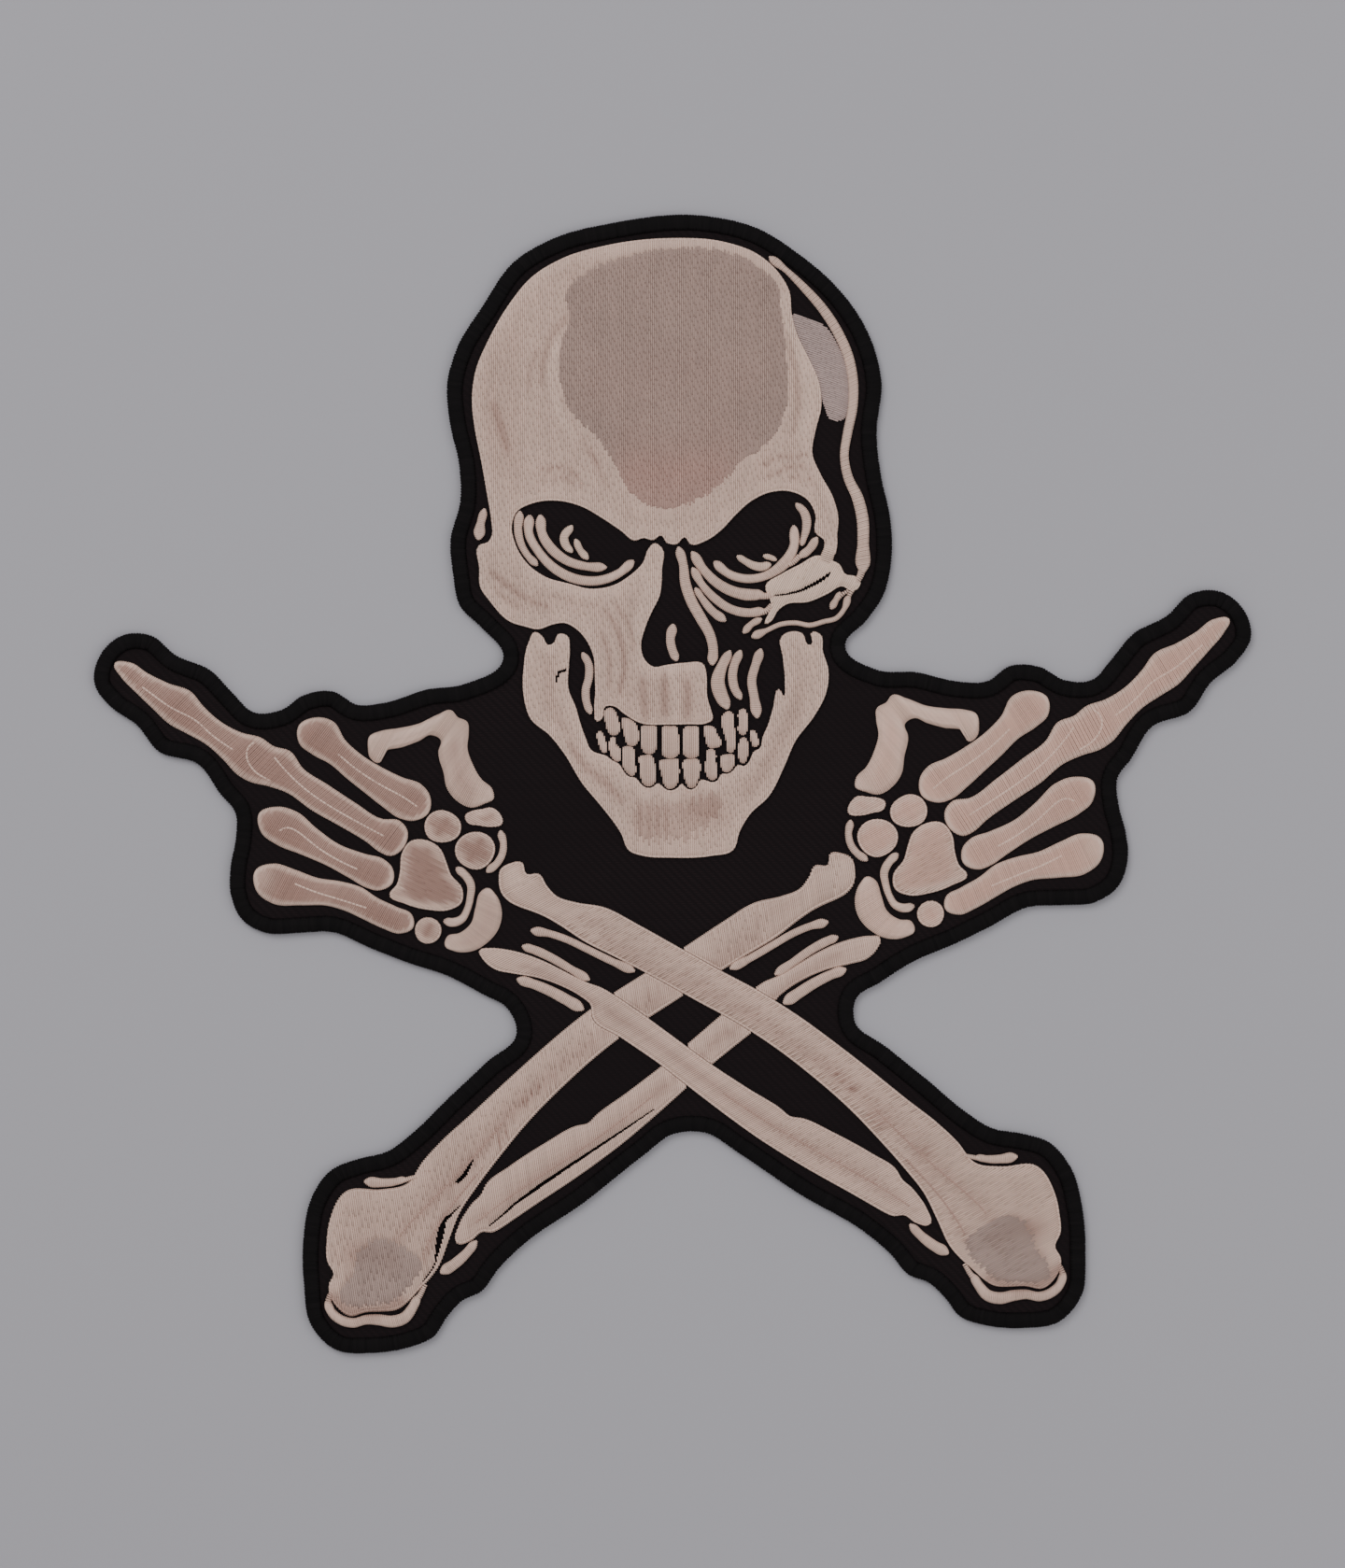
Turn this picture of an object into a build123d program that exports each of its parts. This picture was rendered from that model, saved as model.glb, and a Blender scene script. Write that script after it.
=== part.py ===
from build123d import *
import os
import numpy as np

# A large embroidered patch lying flat with its face up: a skull over two crossed forearms.
# Z points up out of the cloth, Y up the figure and X to its right, in millimetres.
# The arm whose hand is on the left lies in front, and the other passes under it.

# Sizes of the figure
skull_width = 86.0         # from the left cheek to the rim line
skull_height = 134.0       # from chin to crown
crossing_drop = 35.6       # the arms cross this far below the chin
crossing_shift = 3.2       # and this far right of the skull's middle
front_tilt = 32.6          # degrees that the front arm rises towards its hand
back_tilt = 37.0           # degrees that the back arm rises towards its hand
front_wrist_reach = 46.0   # from the crossing to the front arm's wrist
back_wrist_reach = 44.7    # from the crossing to the back arm's wrist
elbow_reach = 100.0        # from the crossing to the end of the elbow
forearm_width = 27.0       # over both bones of the forearm
front_hand_length = 100.0  # from the front arm's wrist to its longest fingertip
back_hand_length = 102.0   # from the back arm's wrist to its longest fingertip
hand_width = 40.0          # over the four finger bones

# Sizes of the cloth and the stitching
cloth_thickness = 1.3      # the ground cloth with its backing
fill_height = 0.9          # how far the filled stitching stands above the cloth
border_width = 3.4         # the bound edge
border_height = 2.2        # the bound edge is thicker than the cloth
border_bevel = 0.6         # its sloped shoulders
layer_gap = 0.05           # between the cloth and what is stitched on it
piece_gap = 0.35           # between neighbouring pieces

# The figure is charted in squares, and each size above spreads its own number of them,
# so a row of a table is a share of the sizes that it follows
skull_squares_across = 86
skull_squares_up = 134
wrist_squares = 46
elbow_squares = 100
forearm_squares_across = 27
hand_squares_along = 100
hand_squares_across = 40

# Skull tables, in squares: across from the middle, up from the chin
dome_left = [(0, 134.2), (-14, 132.6), (-23, 130), (-30, 125.8), (-35, 119.8), (-39.5, 112),
             (-42.2, 105.5), (-43, 99), (-42.4, 93), (-41, 86), (-39.6, 78), (-38.8, 73),
             (-38.7, 69.6), (-39.6, 68.1)]
left_cheek = [(-41.3, 67.6), (-41.4, 62.5), (-41.2, 58.5), (-39.3, 55.7), (-34.5, 50.9),
              (-31.5, 50), (-29, 49.4), (-25.5, 50.5), (-23, 50.8), (-20.3, 49.4),
              (-17.9, 46.6), (-16.5, 43), (-16.3, 39), (-16.2, 35.5), (-16.4, 31.8)]
upper_jaw = [(-15.8, 29.4), (-14.8, 30.2), (-14.4, 32.5), (-12.2, 32.7), (-10.2, 31.2),
             (-6.4, 29), (-1, 28.7), (4, 28.8), (7.8, 29), (9.1, 29.8), (8.8, 31.4), (7.9, 34.5),
             (7.7, 39.5), (7.2, 41.5)]
nose_rim = [(3, 41.9), (-1, 41.4), (-3.6, 41), (-5.8, 42.8), (-6.5, 45.3), (-5.5, 50),
            (-4.1, 53.3), (-2.5, 56.5), (-2, 62), (-2.2, 67.2), (-3.4, 67.9)]
left_socket_rim = [(-4.6, 66.8), (-5.8, 63.8), (-8.6, 61), (-12, 58.9), (-17.5, 58),
                   (-22, 59.1), (-27, 60.5), (-31, 63.3), (-33.9, 68), (-34.6, 71.8),
                   (-33.6, 74.8), (-30, 76.8), (-25, 77.4), (-19.5, 76.2), (-14.5, 73.4),
                   (-10.5, 70.7)]
brow_scallops = [(-7.6, 68.7), (-6, 69.3), (-3.8, 68.8), (-2, 69.9), (-0.7, 68.2),
                 (1.2, 67.9), (3.2, 69.5), (4.4, 67.9)]
right_socket_brow = [(7.5, 68.6), (11, 71), (14, 74.2), (17.5, 77.3), (22, 79.3), (26.5, 79.3),
                     (30, 77.4), (31.7, 74), (31.6, 70.4)]
right_temple = [(33.6, 68.6), (33.6, 66.2), (35.2, 65.3), (36.1, 67.5), (36.1, 70), (36.4, 73),
                (35.2, 78), (32.5, 83), (30.7, 87.5), (31.4, 92.5), (32.7, 98), (32.3, 102.5),
                (29.8, 108.5), (27.4, 113.5), (26.2, 118), (25.8, 122.5), (23.2, 127),
                (18.6, 130.9), (12, 133.3)]
forehead = [(2, 132), (-8, 130.6), (-17, 127.3), (-22.5, 122.8), (-22, 117), (-24, 110),
            (-24, 104), (-21.8, 97), (-16.5, 91.5), (-12.5, 86), (-8.5, 79), (-3.5, 75.8),
            (2.5, 76.2), (9, 79.4), (16, 86), (22.5, 91.3), (25.3, 98), (25.2, 108),
            (24.2, 117), (23, 124.2), (18, 128.6), (10.5, 131.6)]
temple = [(27.3, 117.4), (30, 116.7), (32.6, 115.6), (35.4, 111.8), (37.5, 107), (38.2, 102.5),
          (38, 98), (37, 95.4), (35.5, 94.9), (34.4, 97), (33.1, 101.6), (30.5, 108.3),
          (28.3, 113.5)]
cheekbone = [(20.9, 58.9), (24, 61.1), (28, 63.2), (32.4, 65.2), (34.6, 64.3), (36.6, 63.4),
             (37.9, 61.2), (40.4, 60.6), (41.2, 59.4), (39.6, 57.7), (37.4, 58.8),
             (34.2, 57.2), (30, 55.4), (25, 54.8), (23.2, 53.4), (22, 51.4), (20.8, 50.6),
             (21.4, 52.6), (22, 54.6)]
left_jaw_head = [(-30.6, 46.6), (-29.4, 48.6), (-28, 47.8), (-26.5, 45.7), (-25.2, 46.3),
                 (-24.2, 48.2), (-22.6, 47.9), (-22, 45), (-22.2, 41.5)]
tooth_line = [(-22.2, 36), (-20.7, 32.4), (-19.8, 29.2), (-18.6, 25.8), (-17, 22.7),
              (-15.4, 22.1), (-14.2, 21.8), (-12.7, 20.7), (-11.2, 19.9), (-10.2, 18.3),
              (-9.2, 17.2), (-7.6, 16.9), (-6.6, 15.7), (-5.4, 14.8), (-3.9, 14.8),
              (-2.6, 15.7), (-1.6, 14.8), (-0.6, 14.2), (0.6, 14.2), (1.7, 14.8),
              (2.5, 15.6), (3.3, 14.7), (4.5, 14.3), (5.7, 14.9), (6.7, 16.5), (7.8, 16.3),
              (9.1, 15.9), (10.4, 16.4), (11.1, 17.7), (12.7, 17.8), (13.9, 18.7),
              (14.7, 19.7), (16, 19.4), (17.3, 20.6), (18.2, 22.6), (19.6, 23.4),
              (20.1, 25.6), (21.4, 28.6), (22.4, 32)]
right_jaw_head = [(23.8, 36), (24.5, 34.6), (25, 38), (24.6, 43), (24.4, 47.8), (28.6, 48.3),
                  (29.9, 45.8), (30.7, 45.8), (31, 48.7), (32.4, 48.2), (33, 44.5)]
jaw_edge = [(34.2, 40.5), (33.7, 35.5), (31.2, 30.6), (27, 25), (24.6, 19.5), (21.2, 13),
            (17.2, 9.2), (15, 5.6), (13.4, 1.3), (9, 0.2), (0, -0.2), (-6, 0.2), (-8.8, 1.2),
            (-10.6, 5), (-15, 11), (-19, 15.8), (-23, 22.4), (-26.3, 26.5), (-30.2, 29.8),
            (-31.7, 34.5), (-31.8, 40.5)]
chin = [(-3, 11.6), (-7.6, 10.8), (-8.1, 7.4), (-6.6, 4.3), (0, 3.8), (5.5, 4.6), (8.8, 7.6),
        (11, 10.8), (10.4, 13.3), (6.4, 12.2), (2, 11)]

# Bands of the skull, in squares: across, up, half of the width there
rim_bands = [[(21.8, 130, 0.35), (25.2, 127.3, 0.5), (29.1, 123.5, 0.75), (33, 119.1, 0.9),
              (36.3, 114, 0.95), (38.7, 108.5, 0.95), (39.7, 103, 0.95), (39.6, 97.5, 0.9),
              (38.5, 92, 0.85), (37.8, 87, 0.8), (38.6, 82.4, 0.9), (40.7, 77.8, 1.1),
              (41.8, 73, 1.15), (41.9, 68, 1.1), (41.8, 62.6, 1.0)]]
ear_bands = [[(-40.5, 75, 0.45), (-41.2, 72.4, 0.75), (-41.6, 69.8, 0.95)]]
left_folds = [[(-32.7, 74.4, 0.5), (-33.1, 71, 0.75), (-32.2, 67.3, 0.65), (-30.9, 65.2, 0.6),
               (-29.3, 63.6, 0.5)],
              [(-30.6, 73.4, 0.7), (-30.8, 70.4, 0.8), (-28.8, 66.4, 0.8), (-25, 62.4, 0.9),
               (-20, 60.1, 0.9), (-15, 60, 0.85), (-11, 61.6, 0.75), (-8.4, 63.9, 0.5)],
              [(-28.2, 73.4, 0.7), (-27.9, 70.2, 0.85), (-25.9, 66.9, 0.95), (-22.6, 64.3, 0.85),
               (-18.4, 63, 0.75), (-14.4, 62.8, 0.45)]]
left_glints = [[(-21.6, 71.4, 0.45), (-23.1, 69.3, 0.8), (-22.6, 67.4, 0.75), (-21.6, 66.4, 0.4)],
               [(-20.5, 68.5, 0.35), (-19.6, 66.5, 0.6), (-18.3, 65, 0.5)]]
right_folds = [[(26.8, 71.4, 0.45), (26.9, 70.2, 0.85), (26.9, 67.6, 0.85), (25.9, 65.2, 1.0),
                (24.4, 63.3, 1.1), (22.7, 62, 0.9), (20.8, 61, 0.8), (16.5, 60.3, 0.8),
                (12.4, 61.5, 0.75), (9.9, 63.7, 0.5)],
               [(27.6, 76.3, 0.4), (28.9, 75, 0.75), (29.6, 73, 0.85), (29.5, 71, 0.75),
                (29, 69.2, 0.55), (28.6, 67.9, 0.35)],
               [(28.4, 65.3, 0.5), (30.2, 66.7, 0.75), (31.6, 68.8, 0.5)]]
right_glints = [[(14.9, 65, 0.4), (16.3, 64.1, 0.6), (18, 63.2, 0.75), (19.9, 62.9, 0.8),
                 (21.2, 63.3, 0.6)],
                [(20.6, 65.2, 0.35), (21.8, 64.9, 0.45), (22.7, 64.5, 0.3)]]
septum_bands = [[(0.5, 49.6, 0.75), (0, 47.2, 0.8), (0.5, 44.6, 0.8), (1.1, 43.2, 0.7)]]
nose_bands = [[(1.9, 66.6, 0.55), (2.8, 63.4, 0.8), (3.2, 59.6, 1.0), (4.5, 55.6, 1.05),
               (6.7, 51.6, 1.05), (8.7, 47.8, 0.95), (9.3, 44.8, 0.9), (9.1, 42.4, 0.8)]]
cheek_folds = [[(5, 65.7, 0.5), (7.2, 62.3, 0.8), (10.4, 59.2, 0.95), (14.3, 57.3, 1.05),
                (17.5, 56.8, 1.1), (19.6, 56.9, 0.75)],
               [(5, 62.3, 0.4), (6.9, 59, 0.65), (9.8, 55.9, 0.8), (13.4, 53.6, 0.8),
                (17.2, 52.9, 0.8), (19.9, 53.3, 0.6)],
               [(5.6, 58, 0.3), (6.9, 56, 0.6), (9.2, 53.2, 0.75), (11.5, 51.5, 0.55)],
               [(36.7, 57, 0.35), (36, 55.7, 0.5), (35.2, 54.3, 0.55)],
               [(19.4, 51.4, 0.4), (17.6, 50.4, 0.55), (16.2, 48.9, 0.45)]]
arch_bands = [[(18.3, 47.9, 0.6), (21, 49.1, 0.4), (24, 50.4, 0.4), (27.2, 50.7, 0.4),
               (30.2, 50.2, 0.4), (33.4, 51, 0.4), (36, 51.7, 0.4), (37.7, 53.6, 0.4),
               (38.6, 56.2, 0.45)]]
right_gums = [[(12.8, 44.2, 0.45), (11.2, 41.2, 1.0), (10.3, 38, 1.35), (11, 35, 1.35),
               (12.1, 32.9, 0.9)],
              [(15.1, 44.2, 0.5), (13.9, 41.6, 0.8), (13.5, 39, 0.85), (14, 36.4, 0.8),
               (15.1, 34.6, 0.5)],
              [(19.5, 44.4, 0.6), (18.5, 41.5, 0.8), (17.7, 38.4, 0.85), (18.2, 34.6, 0.85),
               (18.8, 30.8, 0.7)]]
left_gums = [[(-18.9, 43.8, 0.4), (-17.8, 41.8, 0.7), (-17.7, 39, 0.75), (-18.4, 36, 0.75),
              (-18.2, 33.4, 0.7), (-17.5, 31.4, 0.45)]]

# Teeth, in squares
upper_tooth_outlines = [
    [(-14, 31.8), (-12.8, 32.1), (-12, 31.4), (-11.3, 29.5), (-10.9, 27.6), (-11.7, 26.5),
     (-12.9, 26.5), (-13.9, 28), (-14.2, 30)],
    [(-10.4, 29.9), (-9.6, 29.9), (-7.5, 28.6), (-6.95, 27.2), (-6.9, 25.2), (-7.7, 24.2),
     (-9.2, 24.3), (-9.8, 25.3), (-10.1, 26.8), (-10.5, 28.5)],
    [(-6.2, 28.1), (-4.6, 28.2), (-3.2, 28.1), (-2.95, 26), (-3, 23.6), (-3.7, 22.5),
     (-4.7, 22.3), (-5.7, 22.6), (-6.3, 23.8), (-6.4, 26)],
    [(-1.6, 28), (0, 28.1), (1.3, 28), (1.7, 26.8), (1.9, 24.5), (1.8, 22.3), (1, 21.6),
     (-0.8, 21.5), (-1.7, 22.1), (-1.9, 24), (-1.9, 26)],
    [(3.3, 28), (4.6, 28.1), (5.9, 28), (6.2, 26), (6.3, 23.6), (6.1, 22), (5.3, 21.5),
     (3.8, 21.5), (2.9, 22.2), (2.6, 24), (2.7, 26)],
    [(7.4, 28.1), (8.6, 28.2), (9.5, 27.9), (10.2, 26.4), (11, 24.9), (10.8, 24),
     (9.9, 23.7), (8.5, 23.7), (7.9, 24.4), (7.5, 26)],
    [(11.8, 31), (12.8, 31.4), (13.6, 30.8), (13.9, 28.5), (14, 26), (14, 23.4),
     (13.3, 22.6), (12.5, 22.8), (12.3, 24.3), (11.8, 26.2), (11.2, 28.4), (11.1, 30)],
    [(15.2, 31.7), (16, 31.9), (16.6, 31), (16.7, 28.5), (16.5, 27), (15.8, 26.4),
     (15, 26.8), (14.8, 29)]]
lower_tooth_outlines = [
    [(-15.9, 26.6), (-15.3, 27.1), (-14.7, 26.6), (-14.2, 25.3), (-13.8, 23.6),
     (-14.1, 22.6), (-14.8, 22.7), (-15.3, 23.7), (-15.8, 25.2)],
    [(-12.9, 25.6), (-12.3, 25.8), (-11.9, 25.1), (-11.7, 24.1), (-11, 23.4), (-10.9, 22),
     (-11, 20.8), (-11.7, 20.7), (-12.7, 21.5), (-13.2, 22.8), (-13.3, 24.4)],
    [(-10.2, 23.6), (-9.2, 23.8), (-8.2, 23.5), (-7.7, 22.2), (-7.6, 20), (-7.6, 18.2),
     (-8.3, 17.5), (-9.2, 18), (-10.2, 19.3), (-10.4, 21.5)],
    [(-6.6, 21.6), (-5.6, 21.8), (-4.2, 21.8), (-3.7, 21.2), (-3.3, 19.5), (-3.1, 17.3),
     (-3.6, 15.8), (-4.6, 15.3), (-5.8, 15.7), (-6.4, 17), (-6.6, 19.4)],
    [(-2.2, 20.7), (-1.2, 20.9), (0.6, 21), (1.6, 21), (1.9, 19.5), (1.9, 17.5),
     (1.4, 15.7), (0.6, 14.9), (-0.6, 14.8), (-1.4, 15.7), (-1.9, 17.8)],
    [(3.1, 20.8), (4.5, 21), (6, 20.9), (6.5, 20), (6.4, 18), (5.9, 16.3), (5.2, 15.1),
     (4.1, 15), (3.4, 16), (2.9, 18)],
    [(8.2, 23), (9.3, 23.1), (9.8, 22.4), (9.9, 20.5), (10.2, 18.2), (9.9, 17),
     (9.1, 16.6), (8.2, 17.1), (7.6, 18.5), (7.7, 20.8)],
    [(11.1, 21.7), (12.3, 22), (13.7, 21.9), (14, 20.6), (13.5, 19.2), (12.6, 18.4),
     (11.6, 18.5), (11, 19.6)],
    [(15.3, 25.4), (16.1, 25.7), (16.7, 25), (16.9, 23), (16.6, 21.2), (16, 20.3),
     (15.3, 20.5), (14.8, 21.6), (14.8, 23.6)],
    [(17.5, 27.2), (18.2, 27.2), (18.9, 25.8), (19.2, 24.5), (18.7, 23.9), (17.9, 24),
     (17.5, 25.4)]]

# Forearm tables, in squares from the crossing: along towards the hand, then the sides
radius_rows = [(50.2, 8.2, 3.6), (48.4, 9.6, 1.8), (46.2, 8, 1.2), (43.8, 9.5, 1.4),
               (41.2, 8.3, 2), (38, 7.5, 2.6), (34, 8.5, 2.8), (28, 11, 2.7), (20, 11.8, 3.5),
               (10, 12.4, 4.4), (0, 13, 5), (-10, 13.8, 5.7), (-20, 13.9, 5.6),
               (-30, 13.3, 4.7), (-40, 12.4, 3.2), (-50, 11.3, 0.8), (-58, 10.6, -1.5),
               (-64, 9.5, -3.6), (-70, 7.7, -7.2), (-75, 10, -10.3), (-81.5, 14.3, -11.8),
               (-88, 11.4, -12.2), (-91, 8.4, -10.4), (-93.5, 5, -8.7), (-94.2, 1.7, -8.4),
               (-96.6, 0.3, -7.4)]
ulna_rows = [(44.2, -9.9, -12.4), (41, -8.2, -12.9), (37, -6.8, -11.5), (32, -5.8, -9.4),
             (27, -5.3, -8.2), (22, -4.7, -7.8), (19, -4, -8.2), (17.2, -3.9, -10.3),
             (10, -4, -10.6), (0, -4.6, -10.9), (-10, -5.2, -11.8), (-20, -5.3, -12.6),
             (-28.2, -5.2, -13), (-30.4, -5.5, -13), (-33, -4.4, -13), (-40, -3.4, -12.8),
             (-50, -2.7, -12.2), (-56.2, -2.8, -11.9), (-58.4, -3.9, -11.8),
             (-61.2, -4.3, -11.3), (-62.8, -4.8, -10), (-66, -6.2, -10)]
radius_tips = [(51.3, 6.2), (-97.8, -4.2)]
ulna_tips = [(45.7, -11.4), (-68.6, -8.8)]
radius_tendon = [[(15.4, 2.95, 0.4), (20, 2.2, 0.65), (26, 1.5, 0.65), (31, 0.9, 0.65),
                  (35, -0.1, 0.65), (38.1, -1.4, 0.6)]]
ulna_tendons = [[(22.6, -3.9, 0.35), (27, -4.1, 0.7), (32, -4.3, 0.8), (36, -4.9, 0.8),
                 (37.8, -5.4, 0.6)],
                [(20.7, -10.05, 0.8), (24, -10.2, 1.05), (28, -10.5, 1), (32, -11.2, 0.9),
                 (34.8, -12, 0.7)]]
elbow_lines = [[(-69.6, 9.1, 0.4), (-71.4, 9.8, 0.65), (-73.8, 11.3, 0.8), (-76.2, 13.4, 0.7)],
               [(-82.8, -13.2, 0.5), (-85, -14.3, 0.9), (-87.6, -15, 1.1), (-90.2, -14.1, 1.15),
                (-92.4, -12, 1.05), (-94.6, -10.3, 0.9), (-97.2, -9.2, 0.9),
                (-98.9, -7.2, 0.9), (-99.6, -4.6, 0.8), (-99, -2.2, 0.45)],
               [(-65.6, -11.2, 0.45), (-68.5, -11.9, 0.85), (-72, -12.2, 1), (-74.6, -12, 0.85)]]
elbow_shade = [(-96.6, -4.2), (-95, -2), (-91, -0.8), (-88, 1.8), (-85, 2.8), (-81.6, 2),
               (-79.4, -1), (-78, -4.5), (-77.2, -7.2), (-79.6, -9.4), (-84, -10.7),
               (-88, -10.8), (-91.2, -8.9), (-94.8, -7)]

# Hand tables, in squares: along from the wrist towards the fingertips, then the sides
finger_rows = {
    "index_bone": [(27, 11, 4.9), (30, 12.1, 3.6), (34, 11.2, 3.7), (39, 10.6, 4.2),
                   (44, 10.5, 4.7), (49, 11.3, 5.4), (53.5, 13.3, 5.1), (57, 12, 5.6)],
    "middle_bone": [(27.3, 2.2, -4.4), (29.5, 2.9, -4.9), (33, 1.2, -4.6), (40, 1, -4.8),
                    (47, 1.1, -5.2), (53.5, 1.2, -4.9), (57.8, 2.8, -5.9), (61.5, 1.8, -7.2),
                    (64.5, 1.9, -7.4), (69, 0.5, -6.3), (74, 0.1, -5.5), (79, 0.9, -5.8),
                    (83, 2.1, -6.1), (88, 1, -5.2), (93, 0.4, -4.2), (97.5, 0.3, -3.1)],
    "ring_bone": [(25.4, -6.6, -12.1), (28, -6, -13), (32, -7.2, -13.2), (38, -8.5, -13.6),
                  (44, -8.2, -14.6), (49.5, -7.5, -15.6), (53.5, -8.8, -15.2)],
    "little_bone": [(16.3, -12.9, -17.4), (20, -13.2, -18.5), (24.5, -13.8, -19.1),
                    (29, -13.8, -19.7), (33, -15, -20.9), (38, -17.2, -24), (43, -18.3, -26.8),
                    (47.6, -19.7, -26.4)]}
finger_tips = {"index_bone": [(25.4, 7.8), (59, 8.6)], "middle_bone": [(25.9, -1.2), (100, -1.6)],
               "ring_bone": [(23.8, -9.3), (56, -12)], "little_bone": [(14.8, -14.9), (50, -22.8)]}
hand_outlines = {
    "thumb": [(15.2, 18.2), (16.3, 19.5), (19.5, 20.1), (23, 21.9), (25.8, 24.2), (27.3, 27),
              (28.8, 28.9), (31.2, 28.7), (33, 29.2), (34.9, 26.9), (37.4, 22.9), (40.4, 19.9),
              (43.6, 17), (44.8, 15.2), (43.7, 12.6), (42.2, 11.2), (40.3, 11.3), (40.7, 13.6),
              (37.8, 17), (35.6, 19.9), (34, 22.5), (31.4, 22.7), (30.4, 20.2), (27, 17),
              (24.6, 14.6), (21.3, 13.5), (18, 14), (16.3, 16)],
    "thumb_base": [(10.6, 14.6), (12.2, 16), (14.3, 16.1), (15.7, 14.8), (17.4, 13.2),
                   (18.1, 11.7), (16.8, 10.7), (14.8, 11.5), (12.4, 12.6)],
    "outer_carpal": [(8.3, 7), (9.4, 9.6), (12, 10.6), (14.6, 9.6), (16.2, 7.4), (16.3, 5),
                     (14.8, 3.1), (12.2, 2.5), (9.6, 3.4)],
    "inner_carpal": [(17.2, 7.7), (18.4, 9.8), (21, 10.4), (23.4, 9.6), (24.7, 7.6),
                     (24.4, 5.2), (22, 3.4), (19.6, 4)],
    "capitate": [(8.8, -4.7), (10.2, -2.2), (14, -0.9), (16.6, 1.1), (19, 2.6), (22.4, 2.5),
                 (25.1, 0.5), (25.3, -2.4), (23.4, -6.3), (22.5, -9), (22.7, -11.6),
                 (19, -11.4), (14, -9.8), (10.2, -7.4)],
    "wrist_crescent": [(3.6, 0.7), (5.6, 0.9), (6.3, -0.4), (5.4, -4), (4.4, -7.4),
                       (5.4, -10.6), (7.2, -12.6), (6.6, -14.4), (4.4, -14.3), (1, -12.1),
                       (-0.6, -9), (-1, -5), (0.6, -1.4)],
    "pisiform": [(8.8, -13.6), (9.7, -11.6), (11.6, -11), (13.6, -11.9), (14.3, -13.8),
                 (13.3, -15.8), (11.4, -16.5), (9.6, -15.6)]}
hook_bands = [[(13.2, 1, 0.5), (11, 0.7, 0.75), (9, -0.4, 0.75), (7.7, -2.7, 0.65),
               (6.8, -5.4, 0.6), (6.7, -7.6, 0.7), (7.9, -9.3, 0.8), (9.2, -9.9, 0.6)]]
wrist_line = [[(9.6, 12.6, 0.5), (7.9, 11, 0.6), (6.9, 8.9, 0.65), (6.8, 6.6, 0.65),
               (7.5, 4.4, 0.5)]]

# The cloth's edge, in the squares of what it runs round
skull_edge_left = [(-12, 137.9), (-26, 134.2), (-34, 129.4), (-41, 119.5), (-46.3, 111),
                   (-48.6, 103), (-48, 94), (-46, 85), (-45.8, 77), (-47.9, 69), (-47.3, 61),
                   (-45.9, 54.5), (-41, 49.5)]
skull_edge_right = [(42.6, 51.1), (46.3, 56.5), (48.1, 64), (47.8, 74), (46, 82), (44.9, 92),
                    (46, 103), (43, 114), (37, 123), (28, 131), (19, 136.6), (7, 139.4)]
web_across = [-36.4, 38.1]       # how far in the cloth's edge goes between cheek and thumb
hand_edge = [(34, 35.5), (40, 30.4), (46, 23.2), (51, 19.4), (57, 19), (62, 14.8), (64.5, 9.3),
             (69, 5.9), (75, 6.9), (82, 8.5), (90, 7.2), (97, 7.9), (102, 4.8), (104, -1.5),
             (101.5, -7.8), (96, -10), (89, -10.3), (82, -12.6), (73, -10.3), (65.5, -13.2),
             (61, -14.6), (57.6, -19.5), (55.4, -25), (52, -30.3), (47, -33.6), (41, -33.3),
             (35, -29.5), (29, -25.4), (20, -23.8), (11, -22), (3, -19.9), (-6, -19.1),
             (-12, -18.8)]
elbow_edge = [(-31, 19.9), (-40, 18.7), (-52, 17.4), (-62, 16.1), (-69, 16.2), (-75, 18.7),
              (-81, 20.3), (-88, 18.2), (-95, 12), (-101, 3.8), (-105, -4), (-104, -11.5),
              (-98, -17), (-91, -20.8), (-85, -22.2), (-80, -20.5), (-75.5, -19.7),
              (-71, -20.6), (-65, -18.9), (-57, -17.9), (-42, -18.6), (-25, -18.2), (-17, -18.4)]


def on_skull(rows):
    """Places rows of across and up."""
    across, up = np.array(rows, float)[:, :2].T
    return np.column_stack([across * skull_width / skull_squares_across,
                            up * skull_height / skull_squares_up])


def on_arm(along, side, arm):
    """Places lengths along and across an arm, mirrored and tilted as that arm is."""
    tilt = np.radians(arm["tilt"])
    out = along * np.cos(tilt) - side * np.sin(tilt)
    up = along * np.sin(tilt) + side * np.cos(tilt)
    return np.column_stack([crossing_shift + arm["towards"] * out, up - crossing_drop])


def on_forearm(rows, arm):
    """Places rows of along and side, counted from the crossing."""
    along, side = np.array(rows, float)[:, :2].T
    square = np.where(along > 0, arm["wrist_reach"] / wrist_squares, elbow_reach / elbow_squares)
    return on_arm(along * square, side * forearm_width / forearm_squares_across, arm)


def on_hand(rows, arm):
    """Places rows of along and side, counted from the wrist."""
    along, side = np.array(rows, float)[:, :2].T
    return on_arm(arm["wrist_reach"] + along * arm["hand_length"] / hand_squares_along,
                  side * hand_width / hand_squares_across, arm)


def bone_rows(rows, tips):
    """Closed row of points: the first tip, one side out, the far tip and the other side back."""
    one_side = [(along, upper) for along, upper, lower in rows]
    other_side = [(along, lower) for along, upper, lower in rows]
    return [tips[0]] + one_side + [tips[1]] + other_side[::-1]


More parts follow.
